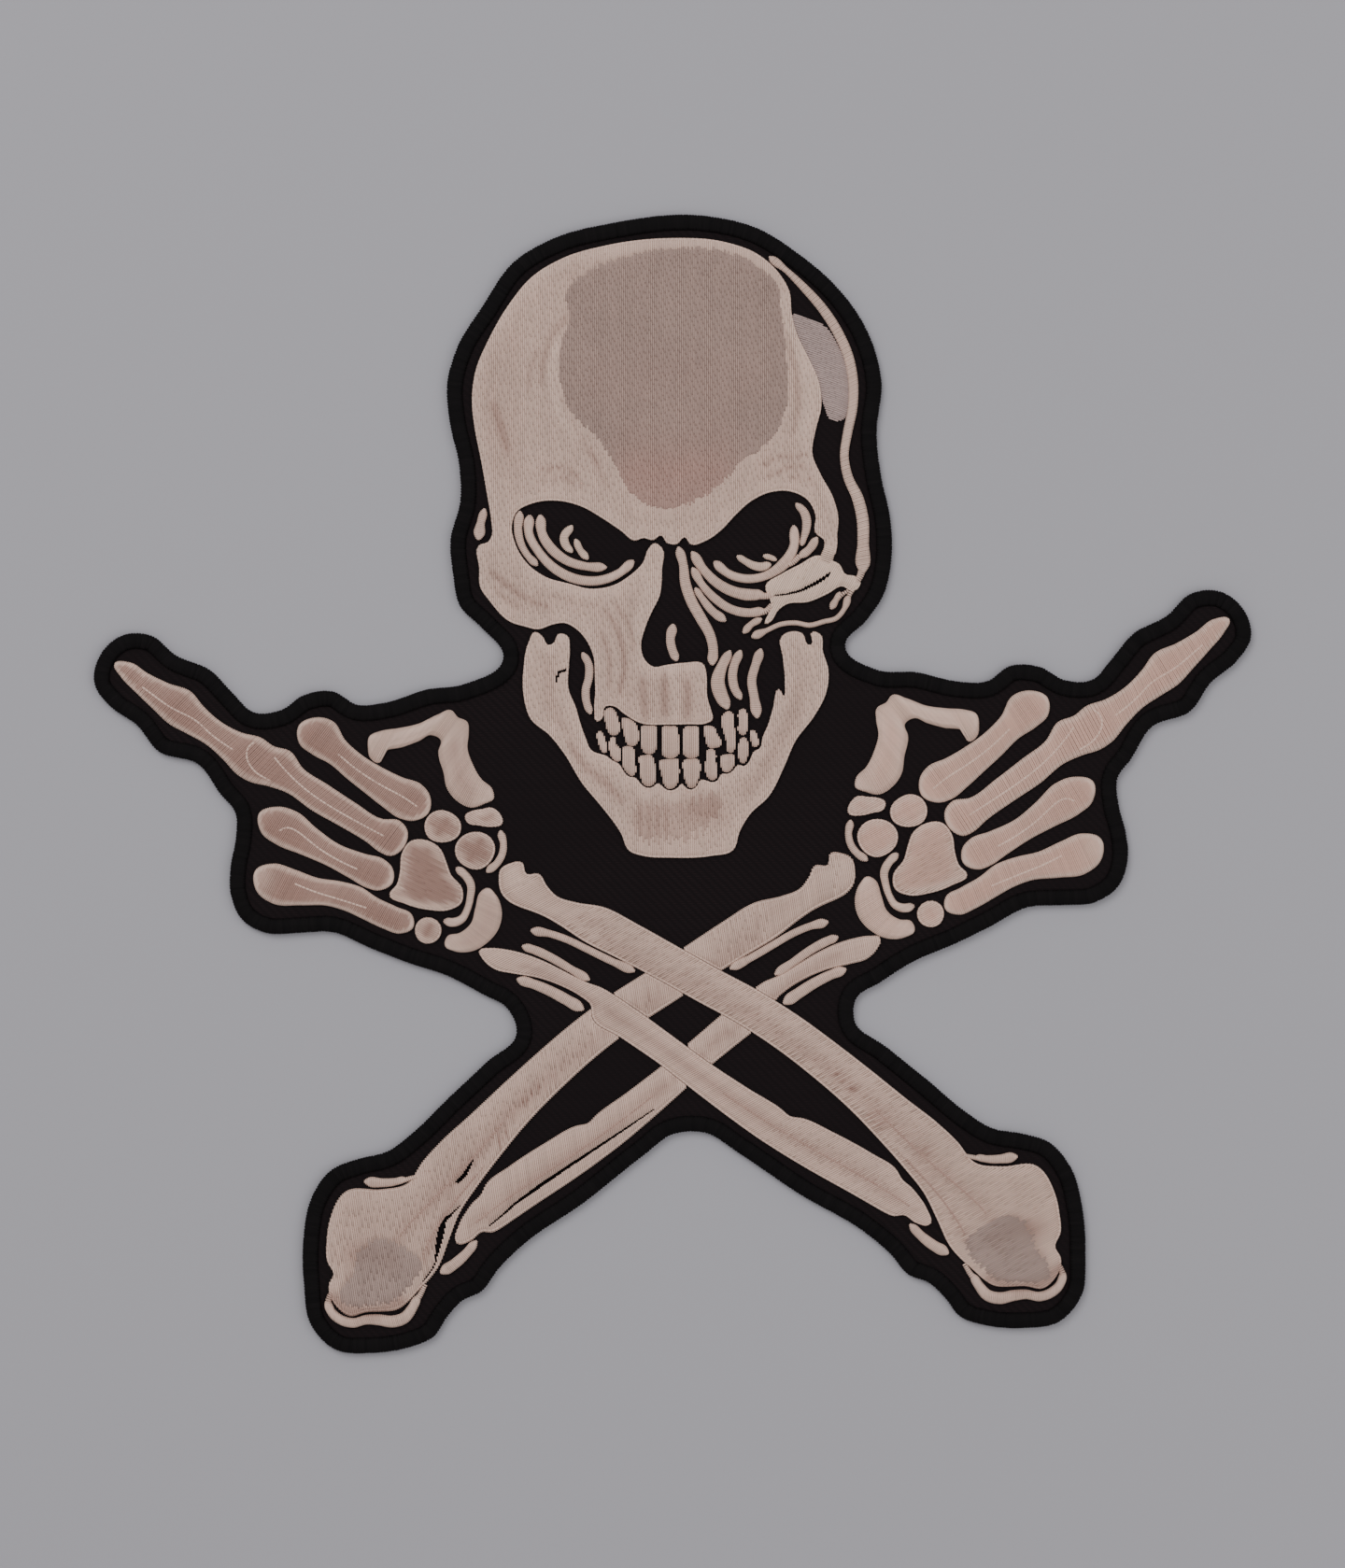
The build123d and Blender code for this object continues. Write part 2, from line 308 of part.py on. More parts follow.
def band_outline(centres, half_widths):
    """Closed outline of a band with a round tip past each end."""
    heading = np.gradient(centres, axis=0)
    heading /= np.linalg.norm(heading, axis=1)[:, None]
    sideways = np.column_stack([-heading[:, 1], heading[:, 0]]) * half_widths[:, None]
    first_tip = centres[0] - heading[0] * half_widths[0]
    last_tip = centres[-1] + heading[-1] * half_widths[-1]
    return np.vstack([[first_tip], centres + sideways, [last_tip], (centres - sideways)[::-1]])


def headings(outline):
    """Direction of a closed outline at each point, leaning to the nearer neighbour's side."""
    arriving = outline - np.roll(outline, 1, axis=0)
    arriving_length = np.linalg.norm(arriving, axis=1)[:, None]
    leaving, leaving_length = np.roll(arriving, -1, axis=0), np.roll(arriving_length, -1, axis=0)
    heading = arriving / arriving_length * leaving_length + leaving / leaving_length * arriving_length
    return heading / np.linalg.norm(heading, axis=1)[:, None]


def grown(outline, margin):
    """Moves each point of a closed outline outwards by the margin, or inwards if it is negative."""
    heading, ahead = headings(outline), np.roll(outline, -1, axis=0)
    turning = np.sign(np.sum(outline[:, 0] * ahead[:, 1] - outline[:, 1] * ahead[:, 0]))
    return outline + turning * margin * np.column_stack([heading[:, 1], -heading[:, 0]])


def slab(outline, bottom, height):
    """A slab inside a smooth closed curve, made of one short curve from each point to the next.

    Each short curve leaves and arrives along the shared headings, a third of its length each way.
    """
    ahead, heading = np.roll(outline, -1, axis=0), headings(outline)
    pull = heading * np.linalg.norm(ahead - outline, axis=1)[:, None] / 3
    pull_ahead = np.roll(heading, -1, axis=0) * np.linalg.norm(ahead - outline, axis=1)[:, None] / 3
    corners = np.stack([outline, outline + pull, ahead - pull_ahead, ahead], axis=1)
    curves = [Edge.make_bezier(*[Vector(x, y, bottom) for x, y in row]) for row in corners]
    return extrude(Face(Wire(curves)), height, dir=(0, 0, 1))


def raised(outline, holes=()):
    """Filled stitching on the cloth, with room for what is set into it."""
    solid = slab(outline, cloth_thickness + layer_gap, fill_height)
    for hole in holes:
        solid -= slab(grown(hole, piece_gap), cloth_thickness, fill_height + border_height)
    return solid


def raised_bands(bands, place, square):
    """Filled stitching in bands, one solid for each."""
    solids = []
    for rows in bands:
        half_widths = np.array([half for across, up, half in rows]) * square
        solids.append(raised(band_outline(place(rows), half_widths)))
    return Compound(children=solids) if len(solids) > 1 else solids[0]


def teeth(outlines):
    """Filled stitching in the outlines of a row of teeth, one solid for each."""
    return Compound(children=[raised(on_skull(rows)) for rows in outlines])


def skull_pieces():
    square = skull_width / skull_squares_across
    forehead_outline, chin_outline = on_skull(forehead), on_skull(chin)
    cranium = on_skull(dome_left + left_cheek + upper_jaw + nose_rim + left_socket_rim
                       + brow_scallops + right_socket_brow + right_temple)
    jaw = on_skull(left_jaw_head + tooth_line + right_jaw_head + jaw_edge)
    pieces = {"cranium": raised(cranium, holes=[forehead_outline]),
              "forehead_shade": raised(forehead_outline),
              "temple_shade": raised(on_skull(temple)),
              "right_cheekbone": raised(on_skull(cheekbone)),
              "jaw": raised(jaw, holes=[chin_outline]),
              "chin_shade": raised(chin_outline),
              "upper_teeth": teeth(upper_tooth_outlines),
              "lower_teeth": teeth(lower_tooth_outlines)}
    bands = {"rim_line": rim_bands, "ear_sliver": ear_bands, "left_socket_folds": left_folds,
             "left_eye_glints": left_glints, "right_socket_folds": right_folds,
             "right_eye_glint": right_glints, "nose_septum": septum_bands,
             "nose_ridge": nose_bands, "cheek_folds": cheek_folds, "arch_line": arch_bands,
             "right_gums": right_gums, "left_gum": left_gums}
    for name, rows in bands.items():
        pieces[name] = raised_bands(rows, on_skull, square)
    return pieces


def forearm_pieces(arm):
    square = forearm_width / forearm_squares_across
    shade = on_forearm(elbow_shade, arm)
    radius, ulna = bone_rows(radius_rows, radius_tips), bone_rows(ulna_rows, ulna_tips)
    pieces = {"radius": raised(on_forearm(radius, arm), holes=[shade]),
              "ulna": raised(on_forearm(ulna, arm)),
              "elbow_shade": raised(shade)}
    bands = {"radius_tendon": radius_tendon, "ulna_tendons": ulna_tendons,
             "elbow_lines": elbow_lines}
    for name, rows in bands.items():
        pieces[name] = raised_bands(rows, lambda band: on_forearm(band, arm), square)
    return pieces


def hand_pieces(arm):
    square = hand_width / hand_squares_across
    pieces = {}
    for name, rows in finger_rows.items():
        pieces[name] = raised(on_hand(bone_rows(rows, finger_tips[name]), arm))
    for name, rows in hand_outlines.items():
        pieces[name] = raised(on_hand(rows, arm))
    for name, rows in {"wrist_hook": hook_bands, "wrist_line": wrist_line}.items():
        pieces[name] = raised_bands(rows, lambda band: on_hand(band, arm), square)
    return pieces


def under_the_front_arm(solid, front):
    """Leaves room where the front arm's bones pass over."""
    for rows, tips in ((radius_rows, radius_tips), (ulna_rows, ulna_tips)):
        over = grown(on_forearm(bone_rows(rows, tips), front), piece_gap)
        solid -= slab(over, cloth_thickness, fill_height + border_height)
    return solid


def cloth_edge(front, back):
    """The patch's outer edge, walked anticlockwise from the crown."""
    left_hand, right_hand = on_hand(hand_edge, front), on_hand(hand_edge, back)[::-1]
    left_elbow, right_elbow = on_forearm(elbow_edge, back), on_forearm(elbow_edge, front)[::-1]
    left_skull, right_skull = on_skull(skull_edge_left), on_skull(skull_edge_right)
    left_in, right_in = np.array(web_across) * skull_width / skull_squares_across
    left_web = [[left_in, (left_skull[-1, 1] + left_hand[0, 1]) / 2]]
    right_web = [[right_in, (right_skull[0, 1] + right_hand[-1, 1]) / 2]]
    return np.vstack([left_skull, left_web, left_hand, left_elbow, right_elbow, right_hand,
                      right_web, right_skull])


def cloth_pieces(edge):
    border = slab(edge, 0, border_height)
    border -= slab(grown(edge, -border_width), 0, border_height)
    border = chamfer(border.edges().group_by(Axis.Z)[-1], border_bevel)
    cloth = slab(grown(edge, -border_width - layer_gap), 0, cloth_thickness)
    return {"ground_cloth": cloth, "border": border}


def patch():
    """Every piece by name, shifted so that the origin is the middle of the patch's underside."""
    front = {"towards": -1, "tilt": front_tilt, "wrist_reach": front_wrist_reach,
             "hand_length": front_hand_length}
    back = {"towards": 1, "tilt": back_tilt, "wrist_reach": back_wrist_reach,
            "hand_length": back_hand_length}
    pieces = cloth_pieces(cloth_edge(front, back))
    pieces.update(skull_pieces())
    for name, arm in (("front", front), ("back", back)):
        for piece, solid in forearm_pieces(arm).items():
            if name == "back" and piece in ("radius", "ulna", "radius_tendon", "ulna_tendons"):
                solid = under_the_front_arm(solid, front)
            pieces[f"{name}_arm_{piece}"] = solid
        for piece, solid in hand_pieces(arm).items():
            pieces[f"{name}_hand_{piece}"] = solid
    middle = pieces["border"].bounding_box().center()
    return {name: Pos(-middle.X, -middle.Y, 0) * solid for name, solid in pieces.items()}


os.makedirs("parts", exist_ok=True)
for name, solid in patch().items():
    export_step(solid, f"parts/{name}.step")
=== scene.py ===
import bpy
import numpy as np
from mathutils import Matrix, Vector
from mathutils.geometry import delaunay_2d_cdt


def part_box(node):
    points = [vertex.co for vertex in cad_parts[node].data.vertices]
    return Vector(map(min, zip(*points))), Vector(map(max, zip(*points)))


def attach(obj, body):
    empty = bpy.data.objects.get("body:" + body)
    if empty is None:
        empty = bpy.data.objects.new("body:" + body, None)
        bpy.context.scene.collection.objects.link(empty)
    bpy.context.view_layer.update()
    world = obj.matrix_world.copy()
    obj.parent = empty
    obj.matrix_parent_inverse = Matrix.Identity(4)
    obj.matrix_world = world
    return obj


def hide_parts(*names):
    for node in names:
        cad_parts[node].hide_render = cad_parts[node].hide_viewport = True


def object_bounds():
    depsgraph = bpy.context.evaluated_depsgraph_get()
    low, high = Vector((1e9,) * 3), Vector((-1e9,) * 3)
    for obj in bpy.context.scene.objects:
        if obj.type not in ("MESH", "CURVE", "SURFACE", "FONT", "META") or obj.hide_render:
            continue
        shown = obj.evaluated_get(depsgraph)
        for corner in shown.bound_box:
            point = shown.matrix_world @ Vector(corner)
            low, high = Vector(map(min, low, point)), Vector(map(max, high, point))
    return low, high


# An embroidered patch lying flat, face up. Every field of stitching is built stitch by stitch.
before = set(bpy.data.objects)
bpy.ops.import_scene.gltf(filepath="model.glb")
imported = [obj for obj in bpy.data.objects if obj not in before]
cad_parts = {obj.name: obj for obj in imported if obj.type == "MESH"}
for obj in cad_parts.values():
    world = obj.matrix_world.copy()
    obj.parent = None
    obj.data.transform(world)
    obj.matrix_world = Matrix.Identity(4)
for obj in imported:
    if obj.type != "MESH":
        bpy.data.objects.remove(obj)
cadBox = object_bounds()
mm = 0.001
rng = np.random.default_rng(11)
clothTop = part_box("ground_cloth")[1].z
print("frame loaded:", len(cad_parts), "nodes, cloth top at", round(clothTop / mm, 2), "mm")

# Places on the figure

wristAt = 46    # where the tables of an arm have its wrist
figure = {"leftCheek": -43.0, "crossing": (3.2, -35.6),
          "front": {"towards": -1, "tilt": 32.6, "wrist": 46.0, "handScale": 1.0},
          "back": {"towards": 1, "tilt": 37.0, "wrist": 44.7, "handScale": 1.02}}
chinPoint = np.array([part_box("cranium")[0].x - figure["leftCheek"] * mm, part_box("jaw")[0].y])


# Millimetres across from the skull's middle and up from its chin, moved to the patch's own axes.
def onSkull(across, up):
    return chinPoint + np.column_stack([across, up]) * mm


# Millimetres along an arm from the crossing towards the hand, and to its upper side. Along is stretched to
# the arm's own wrist and hand, the arm's tilt turns both, and the arm that points left is mirrored.
def onArm(along, side, arm):
    limb = figure[arm]
    along = np.array(along, float)
    along = np.where(along > wristAt, limb["wrist"] + (along - wristAt) * limb["handScale"],
                     np.where(along > 0, along * limb["wrist"] / wristAt, along))
    tilt = np.radians(limb["tilt"])
    across = along * np.cos(tilt) - np.array(side) * np.sin(tilt)
    up = along * np.sin(tilt) + np.array(side) * np.cos(tilt)
    return onSkull(figure["crossing"][0] + limb["towards"] * across, figure["crossing"][1] + up)


# Colours

# Linear light from a screen colour of 0 to 255: the usual 2.4 power above a short straight foot.
def linear(screen):
    c = np.array(screen, float) / 255
    return tuple(np.where(c > 0.04045, ((c + 0.055) / 1.055) ** 2.4, c / 12.92)) + (1.0,)


# The pale and the dark dye of each thread. The back hand's pair keeps the cream but has a paler dark dye:
# painted light, since both hands are one thread lit differently.
cream, tan = (213, 183, 168), (153, 118, 106)
dyes = {"cream": (cream, tan), "forehead": ((160, 134, 124), (170, 134, 123)), "backHandLight": (cream, (196, 155, 139)),
        "mauve": ((168, 146, 141), (128, 106, 102)), "elbow": ((168, 144, 135), (146, 120, 111)),
        "pale": ((220, 192, 175), tan), "edge": ((10, 8, 9), (17, 14, 15))}


# Materials

def newMaterial(name):
    material = bpy.data.materials.new(name)
    material.use_nodes = True
    return material, material.node_tree, material.node_tree.nodes["Principled BSDF"]


# Each input of a node is given as a value, or as the output of another node to link it to.
def setInputs(tree, node, inputs):
    for key, value in inputs.items():
        if isinstance(value, bpy.types.NodeSocket):
            tree.links.new(value, node.inputs[key])
        else:
            node.inputs[key].default_value = value


def newNode(tree, kind, inputs, **settings):
    node = tree.nodes.new("ShaderNode" + kind)
    for key, value in settings.items():
        setattr(node, key, value)
    setInputs(tree, node, inputs)
    return node


def mixColours(tree, factor, first, second):
    return newNode(tree, "Mix", {"Factor": factor, "A": first, "B": second}, data_type="RGBA").outputs["Result"]


def attribute(tree, name, output):
    return newNode(tree, "Attribute", {}, attribute_name=name).outputs[output]


def spread(tree, value, low, high, newLow, newHigh):
    return newNode(tree, "MapRange", {"Value": value, "From Min": low, "From Max": high, "To Min": newLow,
                                      "To Max": newHigh}).outputs["Result"]


def product(tree, first, second):
    return newNode(tree, "Math", {0: first, 1: second}, operation="MULTIPLY").outputs[0]


def placeIn(tree):
    return newNode(tree, "TexCoord", {}).outputs["Object"]


def noiseAt(tree, scale, detail=2.0):
    return newNode(tree, "TexNoise", {"Scale": scale, "Detail": detail, "Vector": placeIn(tree)}).outputs["Fac"]


def bumpOf(tree, height, strength, distance):
    return newNode(tree, "Bump", {"Strength": strength, "Distance": distance, "Height": height}).outputs["Normal"]


def setFinish(tree, shader, colour, bump, look):
    setInputs(tree, shader, {"Base Color": colour, "Normal": bump, "Roughness": look["roughness"],
                             "Sheen Weight": look["sheen"], "Specular IOR Level": look["specular"]})


threadFinish = {"roughness": 0.5, "sheen": 0.08, "specular": 0.4, "plyLength": 0.85, "plyBump": 0.35,
                "plyDepth": 0.05 * mm, "fleckShare": 0.075, "blotchShare": 0.05, "blotchScale": 60}
edgeFinish = dict(threadFinish, roughness=0.8, sheen=0.0, specular=0.1)


# Thread: two dyed colours mixed by the stitch's own tone, lightened or darkened by its fleck and by a slow
# noise, with a bump of slanting plies along the stitch.
def threadMaterial(name, pale, dark, finish):
    material, tree, shader = newMaterial(name)
    colour = mixColours(tree, attribute(tree, "tone", "Fac"), linear(pale), linear(dark))
    fleck = spread(tree, attribute(tree, "fleck", "Fac"), -1, 1, 1 - finish["fleckShare"], 1 + finish["fleckShare"])
    blotch = spread(tree, noiseAt(tree, finish["blotchScale"]), 0.3, 0.7,
                    1 - finish["blotchShare"], 1 + finish["blotchShare"])
    scaled = newNode(tree, "VectorMath", {0: colour, "Scale": product(tree, fleck, blotch)}, operation="SCALE")
    ply = newNode(tree, "TexWave", {"Scale": 0.5 / finish["plyLength"], "Vector": attribute(tree, "lay", "Vector")},
                  bands_direction="DIAGONAL")
    bump = bumpOf(tree, ply.outputs["Fac"], finish["plyBump"], finish["plyDepth"])
    setFinish(tree, shader, scaled.outputs[0], bump, finish)
    return material


twillLook = {"rib": (21, 13, 15), "valleyShade": (16, 10, 12), "worn": (30, 20, 22), "pitch": 0.9 * mm,
             "pickPitch": 0.495 * mm, "unevenness": 0.6, "wearScale": 22, "wearDetail": 4, "bump": 0.2,
             "depth": 0.08 * mm, "roughness": 0.85, "sheen": 0.03, "specular": 0.12}
wavesPerScale = 0.314    # a wave texture's scale times its pitch


# Twill: fine ribs on the slant, crossed by a closer set for the picks, over a slow change of tone. The
# valleys between ribs and picks carry painted shade: a darker colour than the ribs.
def twillMaterial():
    look = twillLook
    material, tree, shader = newMaterial("black_twill")
    place = placeIn(tree)
    ribs, picks = [newNode(tree, "TexWave", {"Scale": wavesPerScale / pitch, "Distortion": look["unevenness"],
                                             "Vector": place}, bands_direction=direction).outputs["Fac"]
                   for direction, pitch in (("DIAGONAL", look["pitch"]), ("Y", look["pickPitch"]))]
    weave = product(tree, ribs, picks)
    shade = spread(tree, noiseAt(tree, look["wearScale"], look["wearDetail"]), 0.35, 0.75, 0.0, 1.0)
    colour = mixColours(tree, shade, linear(look["rib"]), linear(look["worn"]))
    # Painted shade: the weave's valleys take a darker colour than its ribs.
    ribsAndValleyShade = mixColours(tree, weave, linear(look["valleyShade"]), colour)
    setFinish(tree, shader, ribsAndValleyShade, bumpOf(tree, weave, look["bump"], look["depth"]), look)
    return material


backingLook = {"felt": (26, 25, 27), "fibre": (48, 46, 48), "grainScale": 2600, "grainDetail": 3, "bump": 0.4,
               "depth": 0.1 * mm, "roughness": 0.85}


# Backing: a dull black felted sheet with a fine random grain.
def backingMaterial():
    look = backingLook
    material, tree, shader = newMaterial("black_backing")
    grain = noiseAt(tree, look["grainScale"], look["grainDetail"])
    setInputs(tree, shader, {"Base Color": mixColours(tree, grain, linear(look["felt"]), linear(look["fibre"])),
                             "Normal": bumpOf(tree, grain, look["bump"], look["depth"]),
                             "Roughness": look["roughness"]})
    return material


thread = {name: threadMaterial(name + "_thread", *pair, edgeFinish if name == "edge" else threadFinish)
          for name, pair in dyes.items()}
twill, backing = twillMaterial(), backingMaterial()
print("materials made")


# Outlines, read from the frame

nearest = 1e7    # places are merged to the nearest ten millionth of a metre


# The places of a node's vertices, and the corners of its triangles.
def meshOf(node):
    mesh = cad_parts[node].data
    places = np.empty(len(mesh.vertices) * 3)
    mesh.vertices.foreach_get("co", places)
    mesh.calc_loop_triangles()
    corners = np.empty(len(mesh.loop_triangles) * 3, np.int64)
    mesh.loop_triangles.foreach_get("vertices", corners)
    return places.reshape(-1, 3), corners.reshape(-1, 3)


# The rim of a node's upper or lower face: the edges that only one of its flat triangles uses, walked from
# end to end. Outer rims run anticlockwise seen from above, and holes clockwise.
def rimsOf(node, upper=True):
    places, corners = meshOf(node)
    level = places[:, 2].max() if upper else places[:, 2].min()
    corners = corners[(np.abs(places[corners][:, :, 2] - level) < 1 / nearest).all(1)]
    grid, number = np.unique(np.round(places[:, :2] * nearest).astype(np.int64), axis=0, return_inverse=True)
    corners = number.reshape(-1)[corners]
    if not upper:
        corners = corners[:, ::-1]
    edges = np.vstack([corners[:, [0, 1]], corners[:, [1, 2]], corners[:, [2, 0]]])
    edges = edges[edges[:, 0] != edges[:, 1]]
    outward, back = edges[:, 0] * len(grid) + edges[:, 1], edges[:, 1] * len(grid) + edges[:, 0]
    following = dict(edges[~np.isin(outward, back)])
    rims = []
    while following:
        first, here = following.popitem()
        walk = [first]
        while here != first:
            walk.append(here)
            here = following.pop(here)
        rims.append(grid[walk] / nearest)
    return rims


def lengthOf(rows):
    return np.linalg.norm(rows, axis=1)


def unit(rows):
    return rows / np.maximum(lengthOf(rows), 1e-9)[:, None]


def leftOf(rows):
    return np.column_stack([-rows[:, 1], rows[:, 0]])


def nextAround(loop):
    return np.roll(loop, -1, axis=0)


# Twice the area, positive where the loop runs anticlockwise.
def doubleArea(loop):
    ahead = nextAround(loop)
    return np.sum(loop[:, 0] * ahead[:, 1] - ahead[:, 0] * loop[:, 1])


# Points set out at equal steps of length along a closed or open line.
def stepped(line, count, closed=True):
    path = np.vstack([line, line[:1]]) if closed else line
    length = np.concatenate([[0], np.cumsum(lengthOf(np.diff(path, axis=0)))])
    at = np.linspace(0, length[-1], count, endpoint=not closed)
    return np.column_stack([np.interp(at, length, path[:, i]) for i in range(path.shape[1])])


# Distance from each point to the nearest of some straight pieces, less each piece's own half width. Points
# are taken a few hundred at a time, with only the pieces near them, and nothing counts as farther than far.
def distanceTo(points, starts, ends, halves=0.0, far=8 * mm, chunk=500):
    low, high, halves = np.minimum(starts, ends), np.maximum(starts, ends), np.broadcast_to(halves, len(starts))
    found = []
    for part in np.array_split(points, max(1, len(points) // chunk)):
        close = ((high > part.min(0) - far) & (low < part.max(0) + far)).all(1)
        start, span = starts[close], ends[close] - starts[close]
        squares = np.maximum((span ** 2).sum(1), 1e-18)
        gapX, gapY = part[:, :1] - start[:, 0], part[:, 1:] - start[:, 1]
        share = np.clip((gapX * span[:, 0] + gapY * span[:, 1]) / squares, 0, 1)
        away = np.hypot(gapX - share * span[:, 0], gapY - share * span[:, 1]) - halves[close]
        found.append(away.min(1, initial=far))
    return np.concatenate(found)


def edgesOf(rims):
    return np.vstack(rims), np.vstack([nextAround(rim) for rim in rims])


def rimDistance(points, rims):
    return distanceTo(points, *edgesOf(rims))


# A point is inside where a line to its right meets the rims an odd number of times.
def isInside(points, rims, chunk=6000):
    low, high = edgesOf(rims)
    rise = np.where(high[:, 1] == low[:, 1], 1, high[:, 1] - low[:, 1])
    found = []
    for part in np.array_split(points, max(1, len(points) // chunk)):
        x, y = part[:, :1], part[:, 1:]
        spans = (low[:, 1] > y) != (high[:, 1] > y)
        crossing = low[:, 0] + (y - low[:, 1]) * (high[:, 0] - low[:, 0]) / rise
        found.append((spans & (x < crossing)).sum(1) % 2 == 1)
    return np.concatenate(found)


# Depth inside the rims, negative outside them.
def depthIn(points, rims):
    return rimDistance(points, rims) * np.where(isInside(points, rims), 1, -1)


# Rows and rungs of thread

# Parallel rows at the pitch: the rims are turned so that the rows lie level, each row's meetings with the
# rims are sorted, and every second gap between them is a run of thread.
def rowsInside(rims, angle, pitch):
    turn = np.array([[np.cos(angle), np.sin(angle)], [-np.sin(angle), np.cos(angle)]])
    low, high = [ends @ turn.T for ends in edgesOf(rims)]
    levels = np.arange(low[:, 1].min() + pitch / 2, low[:, 1].max(), pitch)
    meets = (low[:, 1][None] > levels[:, None]) != (high[:, 1][None] > levels[:, None])
    row, edge = np.nonzero(meets)
    share = (levels[row] - low[edge, 1]) / (high[edge, 1] - low[edge, 1])
    along = low[edge, 0] + share * (high[edge, 0] - low[edge, 0])
    order = np.lexsort((along, row))
    along, row = along[order].reshape(-1, 2), row[order].reshape(-1, 2)[:, 0]
    starts = np.column_stack([along[:, 0], levels[row]]) @ turn
    ends = np.column_stack([along[:, 1], levels[row]]) @ turn
    return starts, ends, np.full((len(row), 2), pitch), row


rungLook = {"rimSteps": 480, "sideSteps": 900, "narrowest": 0.55, "widest": 1.6}


# Rungs across a long shape: its rim is cut at the two points farthest apart, and the two sides are stepped
# in equal shares of their own length. A lean slides one side's steps along, so that the rungs slant.
def rungsAcross(rim, pitch, lean=0.0):
    rim = stepped(rim, rungLook["rimSteps"])
    apart = ((rim[:, None] - rim[None]) ** 2).sum(2)
    first, last = sorted(np.unravel_index(apart.argmax(), apart.shape))
    oneSide = rim[first:last + 1]
    otherSide = np.vstack([rim[last:], rim[:first + 1]])[::-1]
    length = max(lengthOf(np.diff(side, axis=0)).sum() for side in (oneSide, otherSide))
    count = max(4, int(round(length / pitch)))
    share = (np.arange(count) + 0.5) / count
    slid = np.clip(share + lean * share * (1 - share) * 4, 0, 1)
    fine = rungLook["sideSteps"]
    starts = stepped(oneSide, fine, False)[np.round(share * (fine - 1)).astype(int)]
    ends = stepped(otherSide, fine, False)[np.round(slid * (fine - 1)).astype(int)]
    widths = np.column_stack([lengthOf(np.gradient(side, axis=0)) for side in (starts, ends)])
    widths = np.clip(widths, pitch * rungLook["narrowest"], pitch * rungLook["widest"])
    return starts, ends, widths, np.arange(count)


# A stretch of each run, between two shares of its length, with the widths it has there.
def stretchOf(starts, ends, widths, run, low, high):
    spans, change = ends[run] - starts[run], widths[run, 1:] - widths[run, :1]
    low, high = low[:, None], high[:, None]
    return (starts[run] + spans * low, starts[run] + spans * high,
            np.hstack([widths[run, :1] + change * low, widths[run, :1] + change * high]))


# Runs keep only what lies where wanted: each is sampled closely, and every unbroken stretch of wanted
# samples becomes a run of its own.
def keepWhere(starts, ends, widths, row, wanted, step=0.13 * mm):
    spans = ends - starts
    counts = np.maximum(np.ceil(lengthOf(spans) / step).astype(int), 3)
    run = np.repeat(np.arange(len(row)), counts)
    order = np.arange(len(run)) - np.repeat(np.cumsum(counts) - counts, counts)
    share = (order + 0.5) / counts[run]
    keep = wanted(starts[run] + spans[run] * share[:, None], run)
    before = np.concatenate([[False], keep[:-1] & (run[1:] == run[:-1])])
    after = np.concatenate([keep[1:] & (run[1:] == run[:-1]), [False]])
    first, last = np.nonzero(keep & ~before)[0], np.nonzero(keep & ~after)[0]
    kept = run[first]
    low, high = order[first] / counts[kept], (order[last] + 1) / counts[kept]
    return (*stretchOf(starts, ends, widths, kept, low, high), row[kept])


# Thread pulls past the drawn outline by a little at both ends of each run.
def overshot(starts, ends, widths, row, reach):
    spans = ends - starts
    spans = spans * (reach / np.maximum(lengthOf(spans), 1e-9))[:, None]
    return starts - spans, ends + spans, widths, row


cutLook = {"rowShift": 0.381966, "rowJitter": 0.12, "cutJitter": 0.1, "endShare": 0.35, "longest": 1.3}


# Runs longer than the longest share of a stitch are cut. Each row's cuts are set off by a share of its own,
# so that the needle points never line up, and none lies near the end of a run. All are shares of a stitch.
def cutIntoStitches(starts, ends, widths, row, stitch):
    spans = ends - starts
    lengths = lengthOf(spans)
    begin = (starts * unit(spans)).sum(1)
    jitter = rng.uniform(-cutLook["rowJitter"], cutLook["rowJitter"], len(row))
    offset = (row * cutLook["rowShift"] % 1 + jitter) * stitch
    firstCut = np.ceil((begin - offset) / stitch + cutLook["endShare"])
    lastCut = np.floor((begin + lengths - offset) / stitch - cutLook["endShare"])
    between = np.maximum(lastCut - firstCut + 1, 0)
    cuts = np.where(lengths > stitch * cutLook["longest"], between, 0).astype(int)
    pieces = cuts + 1
    run = np.repeat(np.arange(len(row)), pieces)
    order = np.arange(len(run)) - np.repeat(np.cumsum(pieces) - pieces, pieces)
    jitter = rng.uniform(-cutLook["cutJitter"], cutLook["cutJitter"], len(run) + 1) * stitch
    cutAt = (firstCut[run] + order) * stitch + offset[run] - begin[run]
    low = np.where(order == 0, 0, cutAt - stitch + jitter[:-1])
    high = np.where(order == cuts[run], lengths[run], cutAt + jitter[1:])
    return (*stretchOf(starts, ends, widths, run, low / lengths[run], high / lengths[run]), run)
